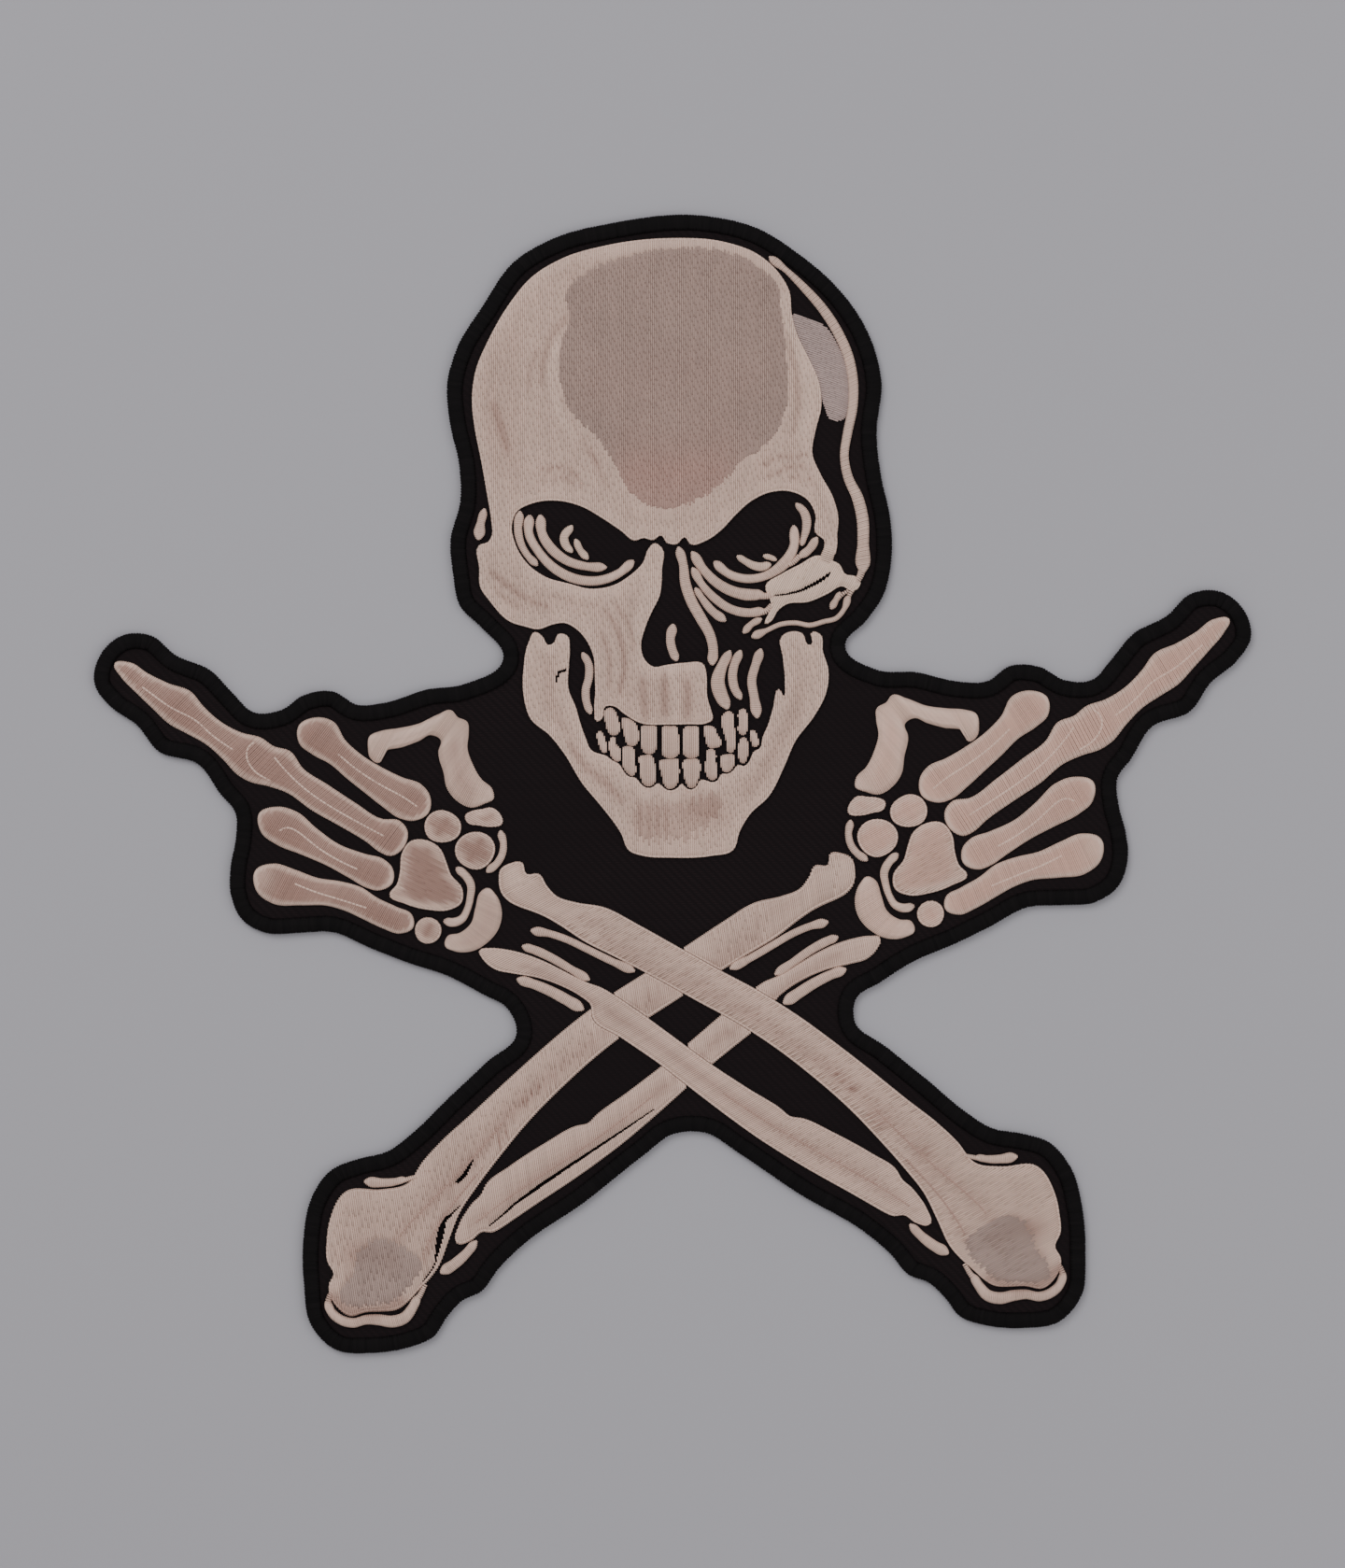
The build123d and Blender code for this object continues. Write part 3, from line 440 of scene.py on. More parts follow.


# Shading drawn in thread

# Each row of a table is a point: across and up on the skull, or along and side on an arm or hand, then the
# line's half width where it has one. A streak has how much darker (or, below 0, paler) the thread turns. No
# thread lies in a slit. Strands are thin dark lines along a forearm, seams light ones along the bones of a hand,
# counted from the wrist, and joins are short bands that carry a line on into its neighbour. The seams are
# painted highlight: the light along each bone's ridge, drawn as pale thread.
streaks = {
  "skull": [
    ([(-38.3, 98, 0.2), (-37, 94, 0.45), (-35.4, 88.5, 0.2)], 0.4),
    ([(-28, 84.2, 0.1), (-24, 84.7, 0.2), (-20, 82.8, 0.1)], 0.45),
    ([(-27.5, 82, 0.1), (-23, 82.4, 0.15), (-19, 80.5, 0.1)], 0.35),
    ([(19, 84.6, 0.1), (24, 87, 0.2), (30, 87.4, 0.1)], 0.45),
    ([(21.5, 82.8, 0.1), (26, 85, 0.2), (31, 84.6, 0.1)], 0.45),
    ([(24, 81.6, 0.1), (28, 82.8, 0.15), (32, 81.6, 0.1)], 0.35),
    ([(-22, 118, 0.2), (-25.6, 113.5, 0.4), (-27.6, 108, 0.4), (-28, 103.5, 0.2)], 0.3),
    ([(-29, 110, 0.2), (-30.6, 106, 0.3), (-30.8, 101.5, 0.2)], 0.25),
    ([(-25.2, 104, 0.2), (-22.9, 97, 0.3), (-19.4, 90.5, 0.3), (-15.6, 85.5, 0.2)], 0.2),
    ([(-24.9, 112, 0.3), (-25.6, 106, 0.5), (-24.4, 98, 0.5), (-20.5, 91.4, 0.5)], -0.25),
    ([(-17.5, 88.5, 0.2), (-15.5, 84, 0.3), (-13.5, 80.5, 0.2)], 0.2),
    ([(24.4, 121, 0.3), (28.4, 111, 0.6), (30.6, 101, 0.6), (28.6, 92, 0.4)], -0.25),
    ([(25.8, 112.5, 0.2), (27.2, 106, 0.3), (27.8, 98, 0.3), (26.8, 92.5, 0.2)], 0.25),
    ([(-39, 62, 0.1), (-36, 59.5, 0.3), (-33, 57.2, 0.3), (-30, 55.6, 0.25), (-26.5, 54.4, 0.1)], 0.5),
    ([(-38.5, 58.5, 0.1), (-35.5, 56, 0.2), (-32, 54, 0.1)], 0.35),
    ([(-29, 57.6, 0.2), (-22, 55.8, 0.3), (-16, 54.6, 0.2)], 0.15),
    ([(-14, 53.5, 0.1), (-11.4, 49.5, 0.25), (-10.2, 45, 0.3), (-10, 40.5, 0.25), (-11, 36, 0.1)], 0.45),
    ([(-12, 55, 0.1), (-8.8, 50.5, 0.25), (-7.9, 45, 0.1)], 0.35),
    ([(-14.8, 48.5, 0.1), (-13.2, 43.5, 0.3), (-13.4, 37.5, 0.1)], 0.35),
    ([(-6, 38.5, 0.3), (-5.8, 34, 0.4), (-5.4, 30.5, 0.3)], 0.35),
    ([(-1.4, 39.6, 0.3), (-1.3, 35, 0.4), (-1.2, 31, 0.3)], 0.4),
    ([(3.6, 38, 0.3), (3.8, 34, 0.4), (3.6, 30.5, 0.3)], 0.35),
    ([(0.7, 41, 0.3), (1.2, 36, 0.4), (1.2, 30, 0.3)], -0.15),
    ([(-4.6, 62, 0.3), (-4.2, 56, 0.7), (-7, 50, 0.5)], -0.3),
    ([(-22, 24.5, 0.15), (-18, 18.8, 0.35), (-14, 16.2, 0.35), (-10.6, 12.4, 0.15)], 0.45),
    ([(-27, 43, 0.3), (-26.2, 33, 0.6), (-22.6, 27.5, 0.4)], 0.15),
    ([(27.6, 37, 0.4), (26.6, 30.5, 0.8), (22, 21.5, 0.8), (17, 14.5, 0.6)], 0.18),
    ([(-6.6, 10.6, 0.2), (-6.5, 5.4, 0.2)], 0.2), ([(-4.7, 10.8, 0.2), (-4.6, 4.8, 0.2)], 0.2),
    ([(-2.8, 11, 0.2), (-2.7, 4.6, 0.2)], 0.2), ([(-0.9, 10.6, 0.2), (-0.8, 4.6, 0.2)], 0.18),
    ([(4.5, 12, 1), (7.5, 11, 1.6), (10.5, 9.5, 1)], 0.25), ([(-36, 112, 2), (-38, 100, 3), (-36, 86, 2)], 0.12),
    ([(-20, 124, 2), (0, 130, 2)], 0.1), ([(-10, 34, 3), (8, 34, 3)], 0.08),
    # Painted highlight: the rim line is drawn paler here, where light catches its satin.
    ([(40.8, 79, 1), (41.8, 73, 1.1)], -0.3)],
  "forehead": [
    ([(-7, 81, 2.7), (-2, 80, 4), (4, 80, 4), (9, 81.5, 2.7)], 0.75),
    ([(-8, 89, 2.7), (0, 88, 2.7), (10, 91, 2.7)], 0.25), ([(-14, 103, 2.7), (14, 104, 2.7)], 0.12)],
  "arm": [
    ([(-80, -0.8, 0.3), (-75, 0.9, 0.5), (-68, 1.9, 0.6), (-60, 3, 0.6), (-50, 5, 0.6), (-42, 7, 0.5),
     (-30, 8, 0.4), (-10, 8.3, 0.4), (0, 7.3, 0.4), (12, 5.6, 0.4), (24, 5.4, 0.3)], 0.3),
    ([(-76.5, -6.8, 0.2), (-70, -3.2, 0.3), (-64, -1.2, 0.3), (-57, 0.4, 0.2)], 0.3),
    ([(-79.5, -8, 0.2), (-76, -7.4, 0.3), (-72, -5.4, 0.2)], 0.25),
    ([(-48.5, 3.3, 0.1), (-44.5, 4.5, 0.15)], 0.8), ([(-39, 7, 0.1), (-33.5, 8.1, 0.15)], 0.6),
    ([(-61, 4.1, 0.12), (-57.5, 4.5, 0.15)], 0.4), ([(-20, 9.6, 0.1), (-6, 9.9, 0.15), (6, 8.9, 0.1)], 0.3),
    ([(-92, 2.8, 0.3), (-91.2, 6.6, 0.4)], 0.15),
    ([(-88, 2.6, 0.6), (-84.6, 0.6, 1.2), (-82.4, -2.6, 0.8)], 0.42),
    ([(-92.8, -0.8, 0.3), (-86, -4.4, 0.4), (-80, -5.6, 0.3)], 0.2),
    ([(-97.4, -1.5, 0.5), (-96.6, -6, 0.7), (-92, -10, 0.6), (-86, -11.4, 0.4)], 0.55),
    ([(-53, -7.3, 0.3), (-40, -8.4, 0.4), (-25, -8.9, 0.4), (-5, -8.3, 0.4), (10, -7.7, 0.4),
     (26, -6.9, 0.4), (36, -8.6, 0.4)], 0.3), ([(-64, -7.6, 0.2), (-59, -7.4, 0.4), (-54, -7.5, 0.3)], 0.25),
    ([(40, 5.4, 0.3), (34, 6.6, 0.4), (26, 8.2, 0.3)], 0.2), ([(48, 6.2, 0.8), (46, 5.6, 1)], -0.2)],
  "hand": [
    ([(26, 9.2, 0.6), (31, 8.2, 0.6)], 0.1), ([(49, 8.6, 0.9), (55, 8.4, 1.2)], 0.1),
    ([(28, -1.4, 0.9), (32, -1.6, 0.6)], 0.1), ([(57, -1.8, 0.9), (65, -2.8, 1.2)], 0.12),
    ([(80, -2.4, 0.7), (85, -2.2, 0.8)], 0.1), ([(27, -9.6, 0.8), (32, -10, 0.5)], 0.1),
    ([(47, -11.6, 0.9), (52, -12, 1.1)], 0.1), ([(19, -15.6, 0.5), (26, -16.4, 0.6)], 0.1),
    ([(41, -21.4, 0.9), (45, -22.6, 1.2)], 0.1), ([(47.8, -23.6, 1.4)], -0.35),
    ([(20.5, 16.4, 0.4), (24, 19.2, 0.8), (28, 23.6, 0.5)], 0.3), ([(12, 15.2, 0.5), (16, 13.4, 0.5)], -0.2),
    ([(24.5, -9, 0.3), (17.5, -10.4, 0.4), (11, -6.9, 0.3)], -0.35),
    ([(2.4, -2, 0.5), (2, -6, 0.8), (3.4, -11.5, 0.6)], 0.12)]}
strands = [
    [(-78, -0.2), (-75, 0.9), (-68, 1.9), (-60, 3), (-50, 5), (-44, 6.5)],
    [(-76.4, -6.4), (-73.4, -4.8), (-70, -3.3), (-64, -1.2), (-58, 0.2), (-53, 1.6)],
    [(-64, -7.6), (-54, -7.4), (-44, -8.1), (-34, -8.7), (-24, -8.9), (-14, -8.7)]]
paintedRidgeHighlights = [
    [(27.5, 7.9), (32, 8.1), (38, 7.5), (44, 7.6), (49.5, 8.4)],
    [(30, -1.3), (36, -1.8), (44, -2.3), (51, -2.1), (57, -0.8), (60.5, 0.4)],
    [(57.5, -4.4), (61.5, -4.9), (64.8, -3.6), (66.2, -1.2), (65.4, 0.9)],
    [(67.5, -3.2), (74, -3.2), (79, -1.9), (84, -2.9), (89, -2.6), (93, -2.3)],
    [(31, -10.4), (36, -11.2), (42, -11.3), (47.5, -10.4), (50, -11.2), (50.6, -13)],
    [(25, -16.4), (31, -18), (37, -19.7), (42, -20.6)]]
joins = {
  "right_cheekbone": [[(35, 68, 1.2), (33.8, 64.6, 1.5), (32.6, 61.6, 1.2)]],
  "rim_line": [[(41.8, 63.6, 0.8), (41.4, 61.4, 0.75), (40.5, 59.9, 0.7), (39, 59.1, 0.55)]],
  "arch_line": [
    [(38.5, 55.5, 0.45), (38.9, 57.1, 0.5), (39.8, 58.4, 0.5)],
    [(36.4, 56.2, 0.45), (37.4, 57.2, 0.45), (38.6, 57.9, 0.4)]],
  "cheek_folds": [
    [(19.2, 56.8, 0.75), (21.1, 56.75, 0.7), (22.8, 57.1, 0.5)],
    [(19.2, 53.1, 0.7), (20.9, 53.5, 0.65), (21.9, 54.8, 0.5)]],
  "right_socket_folds": [[(28, 65.4, 0.6), (26.7, 64.1, 0.6), (25.4, 63.4, 0.45)]],
  "elbow_lines": [
    [(-99.1, -3, 0.6), (-98.6, -1.9, 0.65), (-97.4, -1.1, 0.6), (-96.2, -0.7, 0.4)],
    [(-83.6, -13.5, 0.7), (-81.6, -12.8, 0.6), (-79.6, -11.8, 0.45)],
    [(-70.6, 9.5, 0.55), (-68.4, 8.7, 0.5), (-66.4, 7.9, 0.4)]]}
slits = {
  "right_cheekbone": ("skull", [
    [(22.3, 56.8, 0.16), (25, 57.1, 0.2), (28, 57.8, 0.26), (31, 59.2, 0.34), (33.2, 60.5, 0.4),
     (34.6, 61.6, 0.3)]]),
  "jaw": ("skull", [[(-24.8, 38.2, 0.2), (-24.3, 40.2, 0.3), (-22.4, 40.8, 0.28)]]),
  "back_arm_radius": ("back", [
    [(-60.4, 1.9, 0.4), (-58.6, 2.1, 0.5), (-56.6, 2.9, 0.36), (-54.8, 3.8, 0.15)],
    [(-74.4, -8.7, 0.15), (-72, -6.5, 0.55), (-69.6, -4.4, 0.75), (-67.7, -2.9, 0.6), (-66.4, -3, 0.25),
     (-63, -2.6, 0.1)],
    [(-81.5, -12.6, 0.3), (-79.2, -10.9, 0.2), (-76.4, -10, 0.15), (-74.2, -8.9, 0.15)]]),
  "back_arm_ulna": ("back", [
    [(-60.6, -9.9, 0.16), (-56, -9.7, 0.3), (-53.6, -9.4, 0.45), (-45, -9.6, 0.36), (-35, -10.2, 0.3),
     (-25, -10.8, 0.22), (-17, -11.2, 0.14)]])}


# The straight pieces of a drawn line, five between two of its points, with the mean half width of each.
def drawn(rows, place):
    rows = np.array(rows + rows[-1:] if len(rows) == 1 else rows, float)
    line = onSkull(rows[:, 0], rows[:, 1]) if place == "skull" else onArm(rows[:, 0], rows[:, 1], place)
    fine = stepped(line, 5 * (len(rows) - 1) + 1, False)
    halves = np.interp(np.linspace(0, 1, len(fine)), np.linspace(0, 1, len(rows)), rows[:, 2]) * mm
    return fine[:-1], fine[1:], (halves[:-1] + halves[1:]) / 2


def streaksFor(node):
    if not node.startswith(("front", "back")):
        return [(drawn(rows, "skull"), shift) for rows, shift in streaks.get(node.split("_")[0], streaks["skull"])]
    arm = node.split("_")[0]
    if "_arm_" in node:
        return [(drawn(rows, arm), shift) for rows, shift in streaks["arm"]]
    return [(drawn([(along + wristAt, side, half) for along, side, half in rows], arm), shift)
            for rows, shift in streaks["hand"]]


streakLook = {"softHalves": 3, "raggedShare": 0.35, "fall": 1.5}


# Tones: 0 is the pale dye and 1 the dark one. The tone starts at the rim's and rises to the core's with
# depth, and every streak adds its own share, which falls off over the soft edge, at most three half widths
# wide. Each stitch has a small shift of its own, so that two colours meet in a ragged line.
def toneOf(node, look, points, depth, stitch):
    chance = rng.uniform(-1, 1, stitch.max() + 1)[stitch] * look["ragged"]
    share = np.clip((depth + chance - look["coreStart"]) / (look["coreFull"] - look["coreStart"]), 0, 1)
    tone = look["rimTone"] + (look["coreTone"] - look["rimTone"]) * share * share * (3 - 2 * share)
    for (starts, ends, halves), shift in streaksFor(node):
        soft = min(look["soft"], streakLook["softHalves"] * halves.max())
        margin = soft + halves.max() + look["ragged"]
        near = ((points > np.minimum(starts, ends).min(0) - margin)
                & (points < np.maximum(starts, ends).max(0) + margin)).all(1)
        if near.any():
            away = distanceTo(points[near], starts, ends, halves) + chance[near] * streakLook["raggedShare"]
            tone[near] += shift * np.clip(1 - away / soft, 0, 1) ** streakLook["fall"]
    return np.clip(tone, 0, 1)


# Stitch bodies

acrossRing = np.array([-1.0, -0.5, 0.5, 1.0])      # the section of a thread, side to side
archRing = np.array([-0.9, 0.75, 0.75, -0.9])      # and its height there, as a share of the arch
bodyLook = {"evenShare": 0.4, "dipPower": 6, "fleck": 0.5, "layWidth": 0.4}


# Each stitch is a low arch. Its samples lie closer at both ends: even steps mixed with a half cosine. Its
# height is the field's own rise over the cloth, a quarter round at the rim, less a dip at both needle points.
# Across it four points make a rounded section.
def stitchBodies(node, starts, ends, widths, rims, look, samples):
    count = len(starts)
    t, even = np.linspace(0, 1, samples), bodyLook["evenShare"]
    t = even * t + (1 - even) * (1 - np.cos(np.pi * t)) / 2
    spans = ends - starts
    lengths = np.maximum(lengthOf(spans), 1e-6)
    side = leftOf(spans) / lengths[:, None]
    line = starts[:, None] + spans[:, None] * t[None, :, None]
    flatLine = line.reshape(-1, 2)
    depth = depthIn(flatLine, rims)
    shoulder = np.clip(depth.reshape(count, samples) / look["shoulder"], 0, 1)
    rise = look["edge"] + (look["rise"] - look["edge"]) * np.sqrt(1 - (1 - shoulder) ** 2)
    dip = look["dip"] * np.abs(2 * t - 1) ** bodyLook["dipPower"]
    height = clothTop + rise - dip[None] + rng.uniform(-1, 1, count)[:, None] * look["uneven"]
    width = widths[:, :1] + (widths[:, 1:] - widths[:, :1]) * t[None]
    flat = line[:, :, None] + side[:, None, None] * (acrossRing * look["cover"] / 2)[None, None, :, None] \
        * width[:, :, None, None]
    tall = height[:, :, None] + archRing[None, None] * look["arch"]
    vertices = np.concatenate([flat, tall[..., None]], axis=3).reshape(-1, 3)
    ring = len(acrossRing)
    at = np.arange(count)[:, None, None] * samples * ring
    step, turn = np.arange(samples - 1)[None, :, None] * ring, np.arange(ring)[None, None]
    nextTurn = (turn + 1) % ring
    walls = np.stack([at + step + turn, at + step + nextTurn, at + step + ring + nextTurn,
                      at + step + ring + turn], axis=3).reshape(-1, 4)
    foot = np.arange(count)[:, None] * samples * ring + np.arange(ring)[None]
    head = foot + (samples - 1) * ring
    tone = toneOf(node, look, flatLine, depth, np.repeat(np.arange(count), samples))
    fleck = np.clip(rng.normal(0, bodyLook["fleck"], count), -1, 1)
    lay = np.column_stack([np.tile(acrossRing, count * samples) * bodyLook["layWidth"],
                           np.repeat((lengths[:, None] * t[None] / mm).reshape(-1), ring), np.zeros(len(vertices))])
    return {"vertices": vertices, "faces": np.vstack([walls, foot[:, ::-1], head]), "tone": np.repeat(tone, ring),
            "fleck": np.repeat(fleck, samples * ring), "lay": lay}


# The padding under a field: a copy of the node's own slab, merged, and lowered to stay out of sight.
def padding(node, height):
    places, corners = meshOf(node)
    firstSeen, number = np.unique(np.round(places * nearest).astype(np.int64), axis=0, return_index=True,
                                  return_inverse=True)[1:]
    corners = number.reshape(-1)[corners]
    keep = (corners[:, 0] != corners[:, 1]) & (corners[:, 1] != corners[:, 2]) & (corners[:, 2] != corners[:, 0])
    vertices = places[firstSeen]
    low, high = vertices[:, 2].min(), vertices[:, 2].max()
    vertices[:, 2] = low + (vertices[:, 2] - low) * height / (high - low)
    return {"vertices": vertices, "faces": corners[keep], "material": 1}


triangles = {}


def intoScene(name, data):
    item = bpy.data.objects.new(name, data)
    bpy.context.scene.collection.objects.link(item)
    return item


# Puts vertices and faces into a new piece that rides on the one body and stands for its node.
def makePiece(name, node, parts, materials):
    faces, start = [], 0
    for part in parts:
        faces.append((part["faces"] + start).reshape(-1))
        start += len(part["vertices"])
    corners = np.concatenate(faces)
    sizes = np.concatenate([np.full(len(part["faces"]), part["faces"].shape[1]) for part in parts])
    mesh = bpy.data.meshes.new(name)
    mesh.vertices.add(start)
    mesh.vertices.foreach_set("co", np.vstack([part["vertices"] for part in parts]).astype(np.float32).reshape(-1))
    mesh.loops.add(len(corners))
    mesh.loops.foreach_set("vertex_index", corners.astype(np.int32))
    mesh.polygons.add(len(sizes))
    mesh.polygons.foreach_set("loop_start", (np.cumsum(sizes) - sizes).astype(np.int32))
    mesh.polygons.foreach_set("use_smooth", np.full(len(sizes), node != "ground_cloth"))
    for material in materials:
        mesh.materials.append(material)
    index = np.concatenate([np.zeros(len(part["faces"]), np.int32) + part.get("material", 0) for part in parts])
    mesh.polygons.foreach_set("material_index", index.astype(np.int32))
    mesh.update(calc_edges=True)
    mesh.validate()
    for label, kind, width in (("tone", "FLOAT", 1), ("fleck", "FLOAT", 1), ("lay", "FLOAT_VECTOR", 3)):
        values = np.concatenate([np.reshape(part.get(label, np.zeros(len(part["vertices"]) * width)), (-1, width))
                                 for part in parts])
        layer = mesh.attributes.new(label, kind, "POINT")
        layer.data.foreach_set("vector" if width == 3 else "value", values.astype(np.float32).reshape(-1))
    piece = intoScene(name, mesh)
    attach(piece, "root")
    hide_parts(node)
    triangles[name] = int((sizes - 2).sum())
    return piece


fieldLook = {"pitch": 0.42 * mm, "stitch": 3.4 * mm, "shoulder": 1.5 * mm, "edge": 0.35 * mm, "rise": 0.98 * mm,
             "dip": 0.045 * mm, "uneven": 0.02 * mm, "arch": 0.12 * mm, "cover": 1.14, "reach": 0.14 * mm,
             "rimTone": 0.08, "coreTone": 0.22, "coreStart": 0.3 * mm, "coreFull": 3.5 * mm, "ragged": 0.2 * mm,
             "soft": 4 * mm, "edgeRun": True}
boneLook = dict(fieldLook, pitch=0.40 * mm, stitch=8.5 * mm, shoulder=2.6 * mm, rise=1.2 * mm, dip=0.06 * mm,
                rimTone=0.1, coreTone=0.62, coreStart=0.35 * mm, coreFull=1.0 * mm, edgeRun=False)
carpalLook = dict(boneLook, rimTone=0.25, coreTone=0.8, coreStart=0.7 * mm, coreFull=1.6 * mm, edgeRun=True)
armLook = dict(fieldLook, stitch=7 * mm, shoulder=2.6 * mm, rise=1.2 * mm, rimTone=0.18, coreTone=0.34,
               coreStart=0.6 * mm, coreFull=3.2 * mm, ragged=0.1 * mm, dip=0.03 * mm, uneven=0.015 * mm)
lineLook = dict(fieldLook, pitch=0.38 * mm, stitch=9 * mm, shoulder=0.9 * mm, edge=0.4 * mm, rise=1.05 * mm,
                dip=0.05 * mm, rimTone=0.12, coreTone=0.28, coreStart=0.3 * mm, coreFull=1.0 * mm, edgeRun=False)
paddingShare = 0.4
edgeRun = {"stitch": 0.9 * mm, "width": 0.5 * mm, "inset": 0.12 * mm}
# The seams' pale tone is painted highlight along the ridges of the hand bones.
seamLook = {"stitch": 0.8 * mm, "width": 0.5 * mm, "lift": 0.04 * mm, "clear": 0.5 * mm, "tone": 0.1,
            "strandTone": 0.58}


# A test that is true outside the slits of a node.
def clearOfSlits(node):
    place, lines = slits[node]
    pieces = [drawn(rows, place) for rows in lines]
    starts, ends, halves = (np.concatenate([piece[i] for piece in pieces]) for i in range(3))
    return lambda points, run: distanceTo(points, starts, ends, halves) > 0


# Stitches of one node from its runs: past the outline, clear of the slits, cut to length, made round.
def stitched(node, runs, rims, look, samples):
    runs = overshot(*runs, look["reach"])
    if node in slits:
        runs = keepWhere(*runs, clearOfSlits(node))
    return stitchBodies(node, *cutIntoStitches(*runs, look["stitch"])[:3], rims, look, samples)


# A fine run of short stitches along every rim, a little inside it, covers the ends of the rows.
def runAlong(node, rims, look, wanted=None):
    starts, ends = [], []
    for rim in rims:
        around = lengthOf(rim - np.roll(rim, 1, axis=0)).sum()
        path = stepped(rim, max(6, int(around / edgeRun["stitch"])))
        path = path + leftOf(unit(nextAround(path) - np.roll(path, 1, axis=0))) * edgeRun["inset"]
        starts.append(path)
        ends.append(nextAround(path))
    starts, ends = np.vstack(starts), np.vstack(ends)
    if wanted is not None:
        keep = wanted((starts + ends) / 2)
        starts, ends = starts[keep], ends[keep]
    if not len(starts):
        return []
    return [stitchBodies(node, starts, ends, np.full((len(starts), 2), edgeRun["width"]), rims, look, samples=3)]


# A line through the given points, smoothed by a running mean of its fine steps, with any further columns
# carried along it.
def smoothed(rows, steps=40, window=9):
    rows = np.array(rows, float)
    fine = np.linspace(0, len(rows) - 1, steps)
    columns = [np.interp(fine, np.arange(len(rows)), column) for column in rows.T]
    pad = window // 2
    return [np.convolve(np.pad(column, pad, "edge"), np.ones(window) / window, "valid") for column in columns]


# A fine line over a bone: short stitches one after another along a smoothed line, kept where they lie well
# inside the bone, and raised a little on it.
def seamOver(node, rims, look):
    onHand = "_hand_" in node
    # On a hand the pale line is painted highlight along the bone's ridge.
    lines, tone = (paintedRidgeHighlights, seamLook["tone"]) if onHand else (strands, seamLook["strandTone"])
    dress = dict(look, rimTone=tone, coreTone=tone, rise=look["rise"] + seamLook["lift"])
    parts = []
    for points in lines:
        along, side = smoothed(points)
        line = onArm(along + wristAt * onHand, side, node.split("_")[0])
        length = lengthOf(np.diff(line, axis=0)).sum()
        line = stepped(line, max(3, int(length / seamLook["stitch"])), False)
        line = line[depthIn(line, rims) > seamLook["clear"]]
        if len(line) > 2:
            widths = np.full((len(line) - 1, 2), seamLook["width"])
            parts.append(stitchBodies(node, line[:-1], line[1:], widths, rims, dress, samples=3))
    return parts


# A band of rungs across a smoothed line: both of its sides stand off the line by the half width.
def bandOver(node, rows, look):
    across, up, half = smoothed(rows)
    line = onArm(across, up, node.split("_")[0]) if "_arm_" in node else onSkull(across, up)
    count = max(4, int(lengthOf(np.diff(line, axis=0)).sum() / look["pitch"]))
    band = stepped(np.column_stack([line, half * mm]), count, False)
    side = leftOf(unit(np.gradient(band[:, :2], axis=0))) * band[:, 2:]
    starts, ends = band[:, :2] - side, band[:, :2] + side
    return stitchBodies(node, starts, ends, np.full((count, 2), look["pitch"]), [np.vstack([starts, ends[::-1]])],
                        look, samples=5)


# A node filled with level rows at an angle, or with rungs across each of its shapes.
def fillNode(node, look, material, angle=None, lean=0.0, samples=5):
    rims = rimsOf(node)
    if angle is None:
        parts = [stitched(node, rungsAcross(rim, look["pitch"], lean), [rim], look, samples) for rim in rims]
    else:
        parts = [stitched(node, rowsInside(rims, np.radians(angle), look["pitch"]), rims, look, samples)]
        if look["edgeRun"]:
            parts += runAlong(node, rims, look)
    if node.endswith(("_bone", "_ulna")):
        parts += seamOver(node, rims, look)
    parts += [bandOver(node, rows, lineLook) for rows in joins.get(node.split("_arm_")[-1], [])]
    return makePiece(node + "_stitches", node, parts + [padding(node, look["edge"] * paddingShare)],
                     [thread[material], twill])


# A field and the shade set into it share their rows, and the base's hole round the shade is left out. A
# thread changes colour where it meets the shade's outline, give or take a share of its own.
def fillShaded(base, shade, look, shadeLook, materials, angle, ragged):
    shadeRims = rimsOf(shade)
    rims = [rim for rim in rimsOf(base) if doubleArea(rim) > 0
            or not isInside(np.array([shadeRim[0] for shadeRim in shadeRims]), [rim]).any()]
    rows = rowsInside(rims, np.radians(angle), look["pitch"])
    slide = unit(rows[1] - rows[0]) * rng.uniform(-ragged, ragged, (len(rows[0]), 1))
    inShade = lambda points, run: isInside(points + slide[run], shadeRims)
    inBase = lambda points, run: ~inShade(points, run)
    for node, dress, material, wanted in ((base, look, materials[0], inBase),
                                          (shade, shadeLook, materials[1], inShade)):
        body = stitched(node, keepWhere(*rows, wanted), rims, dress, samples=4)
        beside = isInside if node == shade else lambda points, shape: ~isInside(points, shape)
        edge = runAlong(node, rims, dress, lambda points: beside(points, shadeRims))
        lines = seamOver(node, rims, dress) if node.endswith("_radius") else []
        makePiece(node + "_stitches", node, [body] + edge + lines + [padding(node, dress["edge"] * paddingShare)],
                  [thread[material], twill])


# Ground cloth

clothLook = {"rimSteps": 700, "gridStep": 3.0 * mm, "rimClear": 1.2 * mm, "wave": 0.05 * mm,
             "waveLength": 9 * mm, "waves": ((1, 0.4, 0.3), (-0.5, 1.1, 1.7), (0.8, -0.9, 4.1)), "flatRim": 3 * mm}


